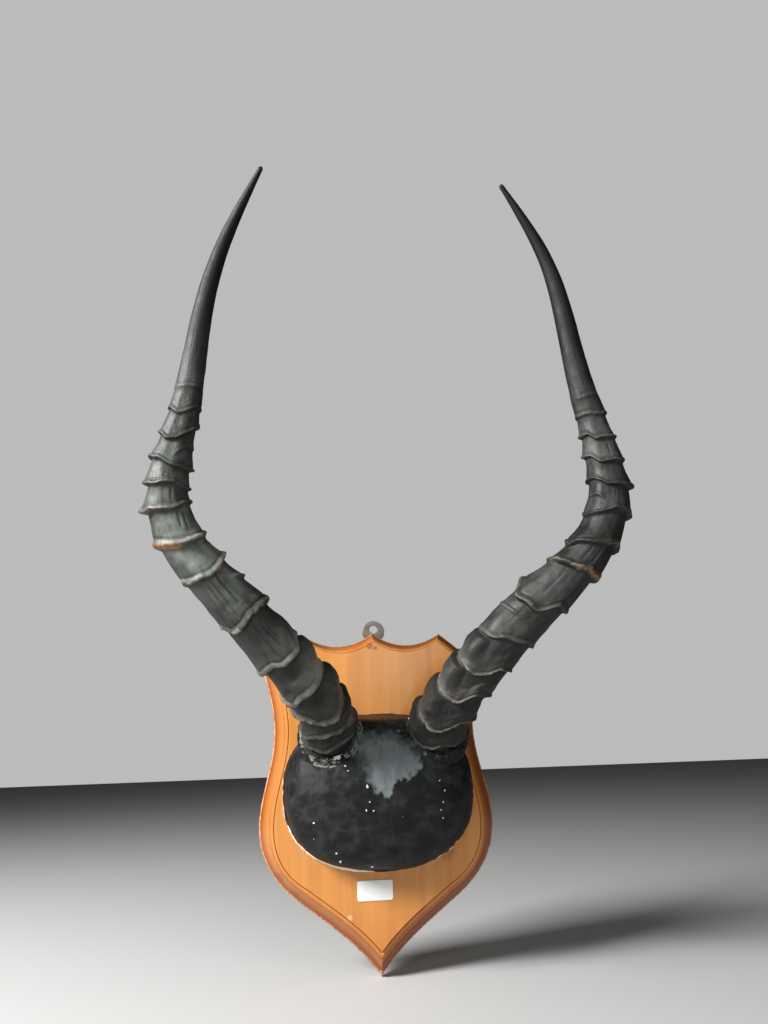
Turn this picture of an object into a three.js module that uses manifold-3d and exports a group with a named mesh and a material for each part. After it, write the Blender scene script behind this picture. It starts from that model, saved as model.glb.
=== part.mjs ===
// A pair of impala horns set in a plaster skull cap on a moulded shield plaque.
// Millimetres, +X to the viewer's right, +Z up, +Y into the wall. The plaque's flat back lies in
// the plane y = 0, with the origin on its centre line.
import * as THREE from 'three';
import { mergeVertices } from 'three/addons/utils/BufferGeometryUtils.js';
import Module from 'manifold-3d';

const wasm = await Module();
wasm.setup();

// Clearance that touching pieces keep from each other.
const GAP = 0.3;

// The shield, as one half: points and curve handles [x, z] from the top peak round to the tip.
const PLAQUE = {
  thickness: 20,
  outer: {
    peak: [0, 150.5], scoop: [33, 127.4], corner: [67, 149], shoulder: [107, 116],
    shoulderHandle: [100, 96], waistHandle: [95.8, 76], waist: [95.8, 58],
    waistExit: [95.8, 28], hipEntry: [109, 2], hip: [109, -24],
    hipExit: [109, -50], flankEntry: [96, -71], flank: [74, -87.5],
    flankExit: [48, -107], tipEntry: [20, -124], tip: [0, -151],
  },
  face: {
    peak: [0, 140.5], scoop: [31, 120.5], corner: [62.5, 140], shoulder: [91, 116],
    shoulderHandle: [85, 96], waistHandle: [80.8, 76], waist: [80.8, 58],
    waistExit: [80.8, 28], hipEntry: [94, 4], hip: [94, -24],
    hipExit: [94, -48], flankEntry: [85, -64], flank: [64.8, -75.6],
    flankExit: [42, -92], tipEntry: [17, -108], tip: [0, -128.5],
  },
  curveSteps: 7,
};

// Moulded edge, from the back outwards and over to the face: the share of the way from the outer
// outline to the face's outline, and the height above the back.
const MOULDING = [
  { inset: 0, height: 0 },
  { inset: 0, height: 5.6 },
  { inset: 0.08, height: 6.4 },
  { inset: 0.2, height: 9.4 },
  { inset: 0.42, height: 12.4 },
  { inset: 0.62, height: 16 },
  { inset: 0.8, height: 18 },
  { inset: 0.97, height: 18.4 },
  { inset: 1, height: 20 },
];

// The plaster skull cap: a dome of superellipse outline, with a steep wall along its top, on a thin
// foot that spreads a little past the wall.
const SKULL = {
  centre: [1, 5],
  halfWidth: 86,
  reachUp: 66,
  reachDown: 67.5,
  height: 50,
  slopeUp: 0.2,
  outlinePower: 2.4,
  crownPower: 2.6,
  topWallPower: 3.4,
  footWallPower: 2.4,
  levels: [0.3, 0.55, 0.73, 0.86, 0.94, 0.98, 1],
  foot: { spread: 1.024, height: 0.8 },
  sides: 40,
};

// Filler collar round each horn's root: a low wall with its outer edge rounded in two steps.
const COLLAR = {
  innerRadius: 19,
  outerRadius: 28,
  height: 15,
  edgeHeight: 9,
  edgeInset: 0.4,
  topInset: 2.4,
  sides: 22,
};

// The room in the plaster for a horn's root.
const SOCKET = { depth: 18, radius: 23.2 };

const HORN_SIDES = 20;

// A ring of a horn, in distances from its lip along the horn: the step up to the lip on its root
// side, the crest, and the slow fall beyond it as a share of the way to the next lip.
const RING = {
  foot: -2.6,
  lip: -0.6,
  lipShare: 0.85,
  crest: 1.4,
  flank: 0.45,
  flankShare: 0.4,
  lastReach: 24,
};

// The smooth end of a horn: how many sections it has, and how its tip is rounded, as distances
// from the very end with the share of the tip's radius there.
const HORN_END = { sections: 9, round: [[3, 1], [0.7, 0.85], [0, 0.4]] };

// Each horn's centre line from its root, its taper as radii at distances along it, and its rings:
// how far along each lip lies, how far it stands out, how much further it does so at the viewer's
// left than in front, and how much further along it lies there.
const HORNS = [
  {
    name: 'horn_left',
    line: [
      [-44, -41, 50], [-45, -65, 62], [-50, -84, 76], [-62, -104, 93], [-82, -123, 115],
      [-107, -141, 142], [-133, -155, 169], [-158, -165, 199], [-172, -174, 235],
      [-169, -181, 273], [-160, -187, 311], [-152, -195, 361], [-143, -204, 409],
      [-127, -216, 455], [-97, -238, 508],
    ],
    taper: [
      [0, 22.8], [30, 21.8], [52, 20.2], [80, 19.1], [156, 19.1], [196, 18.2], [237, 17.3],
      [275, 15.8], [305, 14.9], [325, 13], [353, 11.9], [405, 9.5], [455, 7.8], [505, 5.7],
      [545, 3.5], [566, 1.9],
    ],
    rings: [
      [24, 2.4, 0.4, -3], [40, 2.2, 0, -4], [61, 3, -0.4, 1], [88, 3, 0.4, 0], [120, 3, 0.4, -2],
      [165, 3.4, -1, 2], [212, 3.4, -2, 1], [243, 2.6, 0.5, 6], [272, 3.4, 1.9, 0],
      [290, 4.9, 3.2, 2], [308, 2.8, 0, 3], [333, 2.4, 0, -8], [352, 1.2, 0, -4],
    ],
  },
  {
    name: 'horn_right',
    line: [
      [54, -41, 50], [55, -65, 62], [60, -84, 75], [72, -104, 92], [91, -123, 114],
      [116, -140, 140], [144, -154, 165], [173, -165, 194], [190, -173, 229], [189, -180, 265],
      [179, -187, 304], [168, -194, 353], [158, -204, 401], [142, -216, 446], [104, -239, 496],
    ],
    taper: [
      [0, 22.8], [30, 22.2], [52, 21.2], [80, 19.8], [115, 20], [156, 20.3], [196, 19.4],
      [237, 17.3], [275, 16.8], [312, 15.4], [353, 11.9], [405, 9.8], [455, 7.8], [505, 5.6],
      [545, 3.4], [566, 1.9],
    ],
    rings: [
      [25, 2.4, 0, -3], [46, 2.4, 0, -5], [77, 3, 0, -7], [107, 3, 2, -8], [137, 3, 0, -9],
      [176, 3, 2, -4], [214, 3.2, 0, -7], [240, 2.8, 0, -12], [270, 3.2, -2, -6],
      [297, 4.6, -2.6, 5], [318, 2.6, 0, 6], [337, 2.4, 0, 5], [357, 1.2, 0, 2],
    ],
  },
];

// The steel eye plate let into the back of the plaque, and its two screws. The recess is cut from
// this far behind the surface.
const HANGER = {
  thickness: 1.6,
  centreX: 1.8,
  headZ: 152.9,
  headRadius: 11,
  holeZ: 155.4,
  holeRadius: 4,
  neckHalf: 8,
  footZ: 112,
  screwZ: [140, 119],
};
const RECESS_OVERRUN = 1;
const HANGER_SCREW = { headRadius: 3.1, headHeight: 1.5, shankRadius: 1.5, length: 13 };

// The screws that hold the skull cap from behind.
const MOUNTING_SCREW = { headRadius: 4.4, headHeight: 3, shankRadius: 2.2, length: 44 };
const MOUNTING_SCREW_PLACES = [[-30, 8], [32, 8], [1, -34]];
const SCREW_SIDES = 12;

// Screw heads sit this far under the surface on a thin straight rim, and shanks end in a point
// this many times their radius long. A screw's hole is cut from this far behind the surface.
const SCREW_FORM = { recess: 0.2, rim: 0.3, pointShare: 3, holeOverrun: 1 };

const LABEL = { width: 32, height: 16.5, thickness: 0.4, corner: 2.2, centre: [-4.8, -79.4] };

// Steps of a rounded outline, for the eye plate and for the label's small corners.
const PLATE_STEPS = 14;
const LABEL_STEPS = 4;

// Points closer than this are one point.
const MERGE_DISTANCE = 1e-4;

const MATERIALS = {
  wood: new THREE.MeshStandardMaterial({ color: '#b9743a', roughness: 0.35, metalness: 0 }),
  plaster: new THREE.MeshStandardMaterial({ color: '#1b1d1e', roughness: 0.3, metalness: 0 }),
  horn: new THREE.MeshStandardMaterial({ color: '#2b2c28', roughness: 0.45, metalness: 0 }),
  steel: new THREE.MeshStandardMaterial({ color: '#8d8a85', roughness: 0.4, metalness: 1 }),
  paper: new THREE.MeshStandardMaterial({ color: '#f2f1ee', roughness: 0.8, metalness: 0 }),
};

// Linear interpolation in a list of [at, value] pairs.
function interpolate(pairs, at) {
  const next = pairs.findIndex(([x]) => x > at);
  if (next === -1) return pairs[pairs.length - 1][1];
  if (next === 0) return pairs[0][1];
  const [x0, y0] = pairs[next - 1];
  const [x1, y1] = pairs[next];
  return y0 + ((y1 - y0) * (at - x0)) / (x1 - x0);
}

// A closed body through rings of equally many points, capped at both ends by a fan about each end
// ring's centre. Seen along the way from first to last ring, the points run clockwise.
function loft(rings) {
  const count = rings[0].length;
  const centre = (ring) => ring.reduce((sum, p) => sum.add(p), new THREE.Vector3()).divideScalar(count);
  const points = [...rings.flat(), centre(rings[0]), centre(rings[rings.length - 1])];
  const firstCentre = rings.length * count;
  const lastRing = (rings.length - 1) * count;
  const faces = [];
  for (let i = 0; i < count; i += 1) {
    const j = (i + 1) % count;
    for (let k = 0; k < lastRing; k += count) {
      faces.push(k + i, k + j, k + count + j, k + i, k + count + j, k + count + i);
    }
    faces.push(firstCentre, j, i, firstCentre + 1, lastRing + i, lastRing + j);
  }
  const geometry = new THREE.BufferGeometry().setFromPoints(points);
  geometry.setIndex(faces);
  return geometry;
}

// Booleans: a geometry as a solid, and back.
function toSolid(geometry) {
  const bare = geometry.clone();
  bare.deleteAttribute('normal');
  bare.deleteAttribute('uv');
  const merged = mergeVertices(bare, MERGE_DISTANCE);
  return new wasm.Manifold(new wasm.Mesh({
    numProp: 3,
    vertProperties: Float32Array.from(merged.attributes.position.array),
    triVerts: Uint32Array.from(merged.index.array),
  }));
}

function toGeometry(solid) {
  const mesh = solid.getMesh();
  const geometry = new THREE.BufferGeometry();
  geometry.setAttribute('position', new THREE.BufferAttribute(mesh.vertProperties, mesh.numProp));
  geometry.setIndex(new THREE.BufferAttribute(mesh.triVerts, 1));
  return geometry;
}

function cut(geometry, tools) {
  return toGeometry(tools.reduce((solid, tool) => solid.subtract(toSolid(tool)), toSolid(geometry)));
}

function join(geometries) {
  return toGeometry(geometries.map(toSolid).reduce((solid, other) => solid.add(other)));
}

// The shield's outline at a share of the way from its outer edge to its face, anticlockwise.
function shieldOutline(share) {
  const at = (name) => {
    const [x0, z0] = PLAQUE.outer[name];
    const [x1, z1] = PLAQUE.face[name];
    return [x0 + (x1 - x0) * share, z0 + (z1 - z0) * share];
  };
  const half = new THREE.Path();
  half.moveTo(...at('tip'));
  half.bezierCurveTo(...at('tipEntry'), ...at('flankExit'), ...at('flank'));
  half.bezierCurveTo(...at('flankEntry'), ...at('hipExit'), ...at('hip'));
  half.bezierCurveTo(...at('hipEntry'), ...at('waistExit'), ...at('waist'));
  half.bezierCurveTo(...at('waistHandle'), ...at('shoulderHandle'), ...at('shoulder'));
  half.lineTo(...at('corner'));
  half.quadraticCurveTo(...at('scoop'), ...at('peak'));
  const right = half.getPoints(PLAQUE.curveSteps);
  const left = right.slice(1, -1).reverse().map((p) => new THREE.Vector2(-p.x, p.y));
  return [...right, ...left];
}

function plaqueBlank() {
  return loft(MOULDING.map(({ inset, height }) =>
    shieldOutline(inset).map((p) => new THREE.Vector3(p.x, -height, p.y))));
}

// Turns a shape drawn in x and z into a plate that runs from depth `back` to `back + thickness` in
// front of the wall plane.
function plate(shape, thickness, back, curveSegments = PLATE_STEPS) {
  const geometry = new THREE.ExtrudeGeometry(shape, {
    depth: thickness, bevelEnabled: false, curveSegments,
  });
  geometry.rotateX(Math.PI / 2);
  return geometry.translate(0, -back, 0);
}

// The eye plate's outline, grown by `extra` all round for its recess.
function hangerShape(extra) {
  const { centreX, headZ, headRadius, neckHalf, footZ } = HANGER;
  const head = headRadius + extra;
  const neck = neckHalf + extra;
  const meet = Math.asin(neck / head);
  const shape = new THREE.Shape();
  shape.absarc(centreX, headZ, head, meet - Math.PI / 2, 1.5 * Math.PI - meet, false);
  shape.absarc(centreX, footZ + neckHalf, neck, Math.PI, 2 * Math.PI, false);
  return shape;
}

function hangerPlate() {
  const shape = hangerShape(0);
  const hole = new THREE.Path();
  hole.absarc(HANGER.centreX, HANGER.holeZ, HANGER.holeRadius, 0, 2 * Math.PI, true);
  shape.holes.push(hole);
  const blank = plate(shape, HANGER.thickness, 0);
  return cut(blank, HANGER.screwZ.map((z) => screw(HANGER_SCREW, HANGER.centreX, z, GAP)));
}

// A countersunk screw driven from the back, its point towards the front. With `extra` it is the
// hole that the screw goes in.
function screw({ headRadius, headHeight, shankRadius, length }, x, z, extra) {
  const { recess, rim, pointShare, holeOverrun } = SCREW_FORM;
  const top = extra > 0 ? holeOverrun : -recess;
  const profile = [
    [0, top],
    [headRadius + extra, top],
    [headRadius + extra, -recess - rim],
    [shankRadius + extra, -recess - headHeight],
    [shankRadius + extra, pointShare * shankRadius - length - extra],
    [0, -length - extra],
  ].map(([r, y]) => new THREE.Vector2(r, y)).reverse();
  return new THREE.LatheGeometry(profile, SCREW_SIDES).translate(x, 0, z);
}

// Height of the skull cap over the plaque's face, at a share of the way from its middle to its
// outline and in the direction `angle`, with the place [x, z] there.
function skullPoint(share, angle) {
  const s = SKULL;
  const [cos, sin] = [Math.cos(angle), Math.sin(angle)];
  const reach = sin > 0 ? s.reachUp : s.reachDown;
  const bend = (v) => Math.sign(v) * Math.abs(v) ** (2 / s.outlinePower);
  const x = s.centre[0] + share * s.halfWidth * bend(cos);
  const z = s.centre[1] + share * reach * bend(sin);
  const wall = THREE.MathUtils.lerp(s.footWallPower, s.topWallPower, (sin + 1) / 2);
  const crown = (1 - share ** s.crownPower) ** (1 / wall);
  const slope = 1 - s.slopeUp * Math.max(0, (z - s.centre[1]) / s.reachUp);
  return new THREE.Vector3(x, -PLAQUE.thickness - GAP - s.height * crown * slope, z);
}

function skullDome() {
  const { levels, foot, sides, centre } = SKULL;
  const ring = (share) => Array.from({ length: sides }, (_, i) =>
    skullPoint(share, (2 * Math.PI * i) / sides));
  const footRing = (spread, height) => ring(1).map((p) => new THREE.Vector3(
    centre[0] + spread * (p.x - centre[0]), p.y - height, centre[1] + spread * (p.z - centre[1]),
  ));
  const walls = [...levels].reverse().slice(1).map(ring);
  return loft([
    footRing(foot.spread, 0), footRing(foot.spread, foot.height), footRing(1, foot.height), ...walls,
  ]);
}

function hornCurve(horn) {
  return new THREE.CatmullRomCurve3(horn.line.map((p) => new THREE.Vector3(...p)), false, 'centripetal');
}

// A point of a horn's surface at a distance along its centre line and an angle round it. Nought
// faces the room, and the viewer's left comes first.
function hornPoint(curve, along, angle, radius) {
  const length = curve.getLength();
  const u = THREE.MathUtils.clamp(along / length, 0, 1);
  const tangent = curve.getTangentAt(u);
  const front = new THREE.Vector3(1, 0, 0).cross(tangent).normalize();
  const side = front.clone().cross(tangent);
  return curve.getPointAt(u)
    .addScaledVector(tangent, along - u * length)
    .addScaledVector(front, radius * Math.cos(angle))
    .addScaledVector(side, radius * Math.sin(angle));
}

// The points round a horn, with the distance along it and the radius there given as functions of
// the sine of the angle: 1 at the viewer's left and -1 at the right.
function hornSection(curve, alongAt, radiusAt) {
  return Array.from({ length: HORN_SIDES }, (_, i) => {
    const angle = (-2 * Math.PI * i) / HORN_SIDES;
    const sine = Math.sin(angle);
    return hornPoint(curve, alongAt(sine), angle, radiusAt(sine));
  });
}

// The sections of a horn's ringed part: every ring is a lip that falls away slowly towards the tip
// and steps in sharply towards the root.
function ringSections(horn, curve) {
  const bare = (along) => interpolate(horn.taper, along);
  const lipAt = ([lip, , , tilt], sine) => lip + tilt * sine;
  const sections = [];
  horn.rings.forEach((ring, k) => {
    const [lip, rise, lean] = ring;
    const next = horn.rings[k + 1] ?? [lip + RING.lastReach, 0, 0, 0];
    const add = (alongAt, share) => sections.push(
      hornSection(curve, alongAt, (sine) => bare(alongAt(sine)) + share * (rise + lean * sine)),
    );
    add((sine) => lipAt(ring, sine) + RING.foot, 0);
    add((sine) => lipAt(ring, sine) + RING.lip, RING.lipShare);
    add((sine) => lipAt(ring, sine) + RING.crest, 1);
    add((sine) => THREE.MathUtils.lerp(lipAt(ring, sine), lipAt(next, sine), RING.flank), RING.flankShare);
  });
  return sections;
}

// The smooth sections from the last ring to the rounded tip.
function endSections(horn, curve) {
  const length = curve.getLength();
  const lastLip = horn.rings[horn.rings.length - 1][0];
  const start = lastLip + RING.flank * RING.lastReach;
  const end = length - HORN_END.round[0][0];
  const tipRadius = interpolate(horn.taper, end);
  const at = (along, radius) => hornSection(curve, () => along, () => radius);
  const smooth = Array.from({ length: HORN_END.sections - 1 }, (_, i) => {
    const along = THREE.MathUtils.lerp(start, end, (i + 1) / HORN_END.sections);
    return at(along, interpolate(horn.taper, along));
  });
  return [...smooth, ...HORN_END.round.map(([back, share]) => at(length - back, share * tipRadius))];
}

function hornBody(horn) {
  const curve = hornCurve(horn);
  const root = hornSection(curve, () => 0, () => interpolate(horn.taper, 0));
  return loft([root, ...ringSections(horn, curve), ...endSections(horn, curve)]);
}

function hornSocket(horn) {
  const curve = hornCurve(horn);
  return loft([-GAP, SOCKET.depth].map((along) =>
    hornSection(curve, () => along, () => SOCKET.radius)));
}

function collar(horn) {
  const { innerRadius, outerRadius, height, edgeHeight, edgeInset, topInset, sides } = COLLAR;
  const profile = [
    [innerRadius, 0],
    [outerRadius, 0],
    [outerRadius - edgeInset, edgeHeight],
    [outerRadius - topInset, height],
    [innerRadius, height],
    [innerRadius, 0],
  ].map(([r, y]) => new THREE.Vector2(r, y));
  const axis = hornCurve(horn).getTangentAt(0);
  const turn = new THREE.Quaternion().setFromUnitVectors(new THREE.Vector3(0, 1, 0), axis);
  return new THREE.LatheGeometry(profile, sides).applyQuaternion(turn).translate(...horn.line[0]);
}

function mountingScrews(extra) {
  return MOUNTING_SCREW_PLACES.map(([x, z]) => screw(MOUNTING_SCREW, x, z, extra));
}

function labelShape() {
  const { width, height, corner, centre } = LABEL;
  const [x, z] = centre;
  const [w, h] = [width / 2 - corner, height / 2 - corner];
  const shape = new THREE.Shape();
  shape.absarc(x + w, z + h, corner, 0, Math.PI / 2, false);
  shape.absarc(x - w, z + h, corner, Math.PI / 2, Math.PI, false);
  shape.absarc(x - w, z - h, corner, Math.PI, 1.5 * Math.PI, false);
  shape.absarc(x + w, z - h, corner, 1.5 * Math.PI, 2 * Math.PI, false);
  return shape;
}

const group = new THREE.Group();
function add(name, geometry, material) {
  const mesh = new THREE.Mesh(geometry, material);
  mesh.name = name;
  group.add(mesh);
}

const recess = plate(hangerShape(GAP), HANGER.thickness + GAP + RECESS_OVERRUN, -RECESS_OVERRUN);
const hangerHoles = HANGER.screwZ.map((z) => screw(HANGER_SCREW, HANGER.centreX, z, GAP));
add('plaque', cut(plaqueBlank(), [recess, ...hangerHoles, ...mountingScrews(GAP)]), MATERIALS.wood);

const plaster = join([skullDome(), ...HORNS.map(collar)]);
add('skull_cap', cut(plaster, [...HORNS.map(hornSocket), ...mountingScrews(GAP)]), MATERIALS.plaster);

HORNS.forEach((horn) => add(horn.name, hornBody(horn), MATERIALS.horn));

add('hanger_plate', hangerPlate(), MATERIALS.steel);
HANGER.screwZ.forEach((z, i) =>
  add(`hanger_screw_${i + 1}`, screw(HANGER_SCREW, HANGER.centreX, z, 0), MATERIALS.steel));
mountingScrews(0).forEach((geometry, i) =>
  add(`mounting_screw_${i + 1}`, geometry, MATERIALS.steel));
add('lot_label', plate(labelShape(), LABEL.thickness, PLAQUE.thickness + GAP, LABEL_STEPS), MATERIALS.paper);

export default group;
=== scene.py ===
"""Looks of a wall trophy: two impala horns in a black plaster skull cap on a varnished shield.

Sizes and places are in millimetres, in the part's own frame: +X to the viewer's right, +Z up and +Y
into the wall, with the origin on the shield's flat back. Meshes are made in metres.
"""

import logging
import math
from collections.abc import Sequence
from dataclasses import dataclass, replace
from enum import Enum

import bmesh
import bpy
import numpy as np
from mathutils import Matrix, Vector


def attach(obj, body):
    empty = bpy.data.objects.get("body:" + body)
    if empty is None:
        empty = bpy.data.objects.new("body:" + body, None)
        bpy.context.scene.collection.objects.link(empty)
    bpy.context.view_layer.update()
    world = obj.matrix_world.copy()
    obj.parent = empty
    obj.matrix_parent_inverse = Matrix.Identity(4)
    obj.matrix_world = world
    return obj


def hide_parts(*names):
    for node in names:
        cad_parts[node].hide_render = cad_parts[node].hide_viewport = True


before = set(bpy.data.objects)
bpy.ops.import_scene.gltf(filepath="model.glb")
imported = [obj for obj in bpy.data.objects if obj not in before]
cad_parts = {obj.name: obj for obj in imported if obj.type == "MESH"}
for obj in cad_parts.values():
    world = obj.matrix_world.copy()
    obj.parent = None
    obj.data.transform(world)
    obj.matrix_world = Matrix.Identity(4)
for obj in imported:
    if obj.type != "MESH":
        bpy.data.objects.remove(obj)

LOG = logging.getLogger("trophy")
MM = 0.001
BODY = "root"
# The shield's face, and the room left between two pieces
FACE_DEPTH = -20.0
GAP = 0.3

Array = np.ndarray
Point2 = tuple[float, float]
Point3 = tuple[float, float, float]
Colour = tuple[float, float, float]
Socket = bpy.types.NodeSocket
Feed = Socket | float | tuple[float, ...]


class Slot(Enum):
    """Names of the material slots."""

    WOOD = "plaque_wood"
    PLASTER = "painted_plaster"
    HORN = "horn"
    HANGER = "hanger_steel"
    SCREW = "screw_steel"
    PAPER = "label_paper"


class Channel(Enum):
    """Names of the values that meshes carry for their finishes."""

    LIP = "lip"
    PALE = "pale"
    TAN = "tan"
    CREVICE = "painted_crevice_shade"
    GROOVE = "groove"
    ALONG = "along"
    SHADE = "shade"
    FIBRE = "fibre"
    BARE = "bare"
    BONE = "bone"
    SHEEN = "sheen"
    CRUST = "crust"
    MOULDING = "moulding"
    WEAR = "wear"


# ---- Shapes: noise, meshes and small mesh tools ----


@dataclass(frozen=True)
class Grain:
    """Smooth noise on a lattice, the same on every run.

    Attributes:
        cell: Size of the largest features, in the units of the points.
        seed: Picks one of many patterns.
        octaves: How many finer layers are added, each half as large and half as strong.
    """

    cell: float
    seed: int = 0
    octaves: int = 1

    def at(self, points: Array) -> Array:
        """Return values from about -1 to 1.

        Args:
            points: Places, as an array of shape (n, 3).

        Returns:
            One value for each point.
        """
        total = np.zeros(len(points))
        weights = [0.5**octave for octave in range(self.octaves)]
        for octave, weight in enumerate(weights):
            total += weight * self._layer(points / self.cell * 2**octave, self.seed + 31 * octave)
        return total / sum(weights)

    @staticmethod
    def _layer(cells: Array, seed: int) -> Array:
        """Return one layer of lattice noise at points given in cells."""
        base = np.floor(cells).astype(np.int64)
        part = cells - base
        part = part * part * part * (part * (part * 6 - 15) + 10)
        value = np.zeros(len(cells))
        for corner in range(8):
            step = np.array([corner & 1, corner >> 1 & 1, corner >> 2 & 1])
            share = np.where(step == 1, part, 1 - part).prod(axis=1)
            value += share * Grain._corner(base + step, seed)
        return 1.7 * value

    @staticmethod
    def _corner(corner: Array, seed: int) -> Array:
        """Return the fixed value of each lattice corner, from -1 to 1."""
        mixed = corner @ np.array([374761393, 668265263, 362437]) + seed * 974711
        mixed = (mixed ^ (mixed >> 13)) & 0xFFFFFFFF
        mixed = (mixed * 1274126177) & 0xFFFFFFFF
        mixed ^= mixed >> 16
        return mixed / 0x7FFFFFFF - 1


def ease(low: float, high: float, value: Array) -> Array:
    """Return 0 below low and 1 above high, with a smooth step between them."""
    share = np.clip((value - low) / (high - low), 0, 1)
    return share * share * (3 - 2 * share)


def hump(value: Array, width: float) -> Array:
    """Return 1 where value is 0, falling to nothing beyond about two widths."""
    return np.exp(-((value / width) ** 2))


def tube_faces(rows: int, columns: int) -> list[list[int]]:
    """Return the quads of a closed tube of points stored row by row."""
    row, column = np.meshgrid(np.arange(rows - 1), np.arange(columns), indexing="ij")
    here = row * columns + column
    beside = row * columns + (column + 1) % columns
    quads = np.stack([here, beside, beside + columns, here + columns], axis=-1)
    return quads.reshape(-1, 4).tolist()


def fan_faces(ring: Sequence[int], centre: int) -> list[list[int]]:
    """Return the triangles from a ring of points to its centre point."""
    return [[ring[i], ring[(i + 1) % len(ring)], centre] for i in range(len(ring))]


def tube(rows: Array) -> tuple[Array, list[list[int]]]:
    """Return points and faces of a tube through rows of points, closed by a fan at each end.

    Args:
        rows: Points of shape (rows, columns, 3).

    Returns:
        The points, and the point numbers of each face.
    """
    count, columns = rows.shape[:2]
    centres = rows[[0, -1]].mean(axis=1)
    points = np.concatenate([rows.reshape(-1, 3), centres])
    last = (count - 1) * columns
    faces = tube_faces(count, columns)
    faces += [face[::-1] for face in fan_faces(range(columns), count * columns)]
    faces += fan_faces(range(last, last + columns), count * columns + 1)
    return points, faces


def make_piece(name: str, points: Array, faces: list[list[int]]) -> bpy.types.Object:
    """Return a smooth-shaded object with outward faces.

    Args:
        name: The piece's name.
        points: Its points in millimetres.
        faces: Point numbers of each face.

    Returns:
        The mesh object, in the scene.
    """
    mesh = bpy.data.meshes.new(name)
    mesh.from_pydata((points * MM).tolist(), [], faces)
    piece = bpy.data.objects.new(name, mesh)
    bpy.context.scene.collection.objects.link(piece)
    face_outward(piece)
    return piece


def face_outward(piece: bpy.types.Object) -> None:
    """Turn a closed mesh's faces outward and shade them smooth."""
    editor = bmesh.new()
    editor.from_mesh(piece.data)
    bmesh.ops.recalc_face_normals(editor, faces=editor.faces)
    editor.to_mesh(piece.data)
    editor.free()
    piece.data.shade_smooth()


def crease(piece: bpy.types.Object, degrees: float) -> None:
    """Keep edges sharper than an angle crisp in the smooth shading."""
    piece.data.set_sharp_from_angle(angle=math.radians(degrees))


def settle(piece: bpy.types.Object) -> None:
    """Replace a piece's mesh by what its modifiers make of it."""
    evaluated = piece.evaluated_get(bpy.context.evaluated_depsgraph_get())
    mesh = bpy.data.meshes.new_from_object(evaluated)
    piece.modifiers.clear()
    old = piece.data
    piece.data = mesh
    bpy.data.meshes.remove(old)


def carve(piece: bpy.types.Object, cutters: Sequence[bpy.types.Object]) -> None:
    """Cut other closed pieces out of a piece and remove them."""
    for cutter in cutters:
        tool = piece.modifiers.new("carve", "BOOLEAN")
        tool.operation = "DIFFERENCE"
        tool.solver = "EXACT"
        tool.object = cutter
        settle(piece)
        bpy.data.objects.remove(cutter)


def places_of(piece: bpy.types.Object) -> Array:
    """Return a piece's points in millimetres, as an array of shape (n, 3)."""
    flat = np.zeros(len(piece.data.vertices) * 3, np.float32)
    piece.data.vertices.foreach_get("co", flat)
    return flat.reshape(-1, 3).astype(float) / MM


def normals_of(piece: bpy.types.Object) -> Array:
    """Return a piece's point normals, as an array of shape (n, 3)."""
    flat = np.zeros(len(piece.data.vertices) * 3, np.float32)
    piece.data.vertex_normals.foreach_get("vector", flat)
    return flat.reshape(-1, 3).astype(float)


def move_places(piece: bpy.types.Object, points: Array) -> None:
    """Write a piece's points, given in millimetres."""
    piece.data.vertices.foreach_set("co", (points * MM).astype(np.float32).ravel())
    piece.data.update()


def mark(piece: bpy.types.Object, channel: Channel, values: Array) -> None:
    """Store one value or vector for each point of a piece, for its finish to read."""
    kind, field = ("FLOAT_VECTOR", "vector") if values.ndim == 2 else ("FLOAT", "value")
    stored = piece.data.attributes.new(channel.value, kind, "POINT")
    stored.data.foreach_set(field, np.ascontiguousarray(values, np.float32).ravel())


def lathe(
    name: str, profile: Sequence[Point2], centre: Point2, sides: int = 40
) -> bpy.types.Object:
    """Return a turned piece with its axis along Y.

    Args:
        name: The piece's name.
        profile: (radius, depth) points from its back end to its front end, none on the axis.
        centre: Where the axis crosses the wall plane, as (x, z).
        sides: How many sides the turning has.

    Returns:
        The mesh object.
    """
    angles = np.linspace(0, 2 * math.pi, sides, endpoint=False)
    radius, depth = np.array(profile, float).T
    rows = np.zeros((len(profile), sides, 3))
    rows[..., 0] = centre[0] + radius[:, None] * np.cos(angles)
    rows[..., 1] = depth[:, None]
    rows[..., 2] = centre[1] + radius[:, None] * np.sin(angles)
    return make_piece(name, *tube(rows))


def arc(centre: Point2, radius: float, start: float, end: float, steps: int) -> list[Point2]:
    """Return points of an arc, its angles in degrees, both ends included."""
    angles = np.radians(np.linspace(start, end, steps))
    return [(centre[0] + radius * math.cos(a), centre[1] + radius * math.sin(a)) for a in angles]


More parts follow.
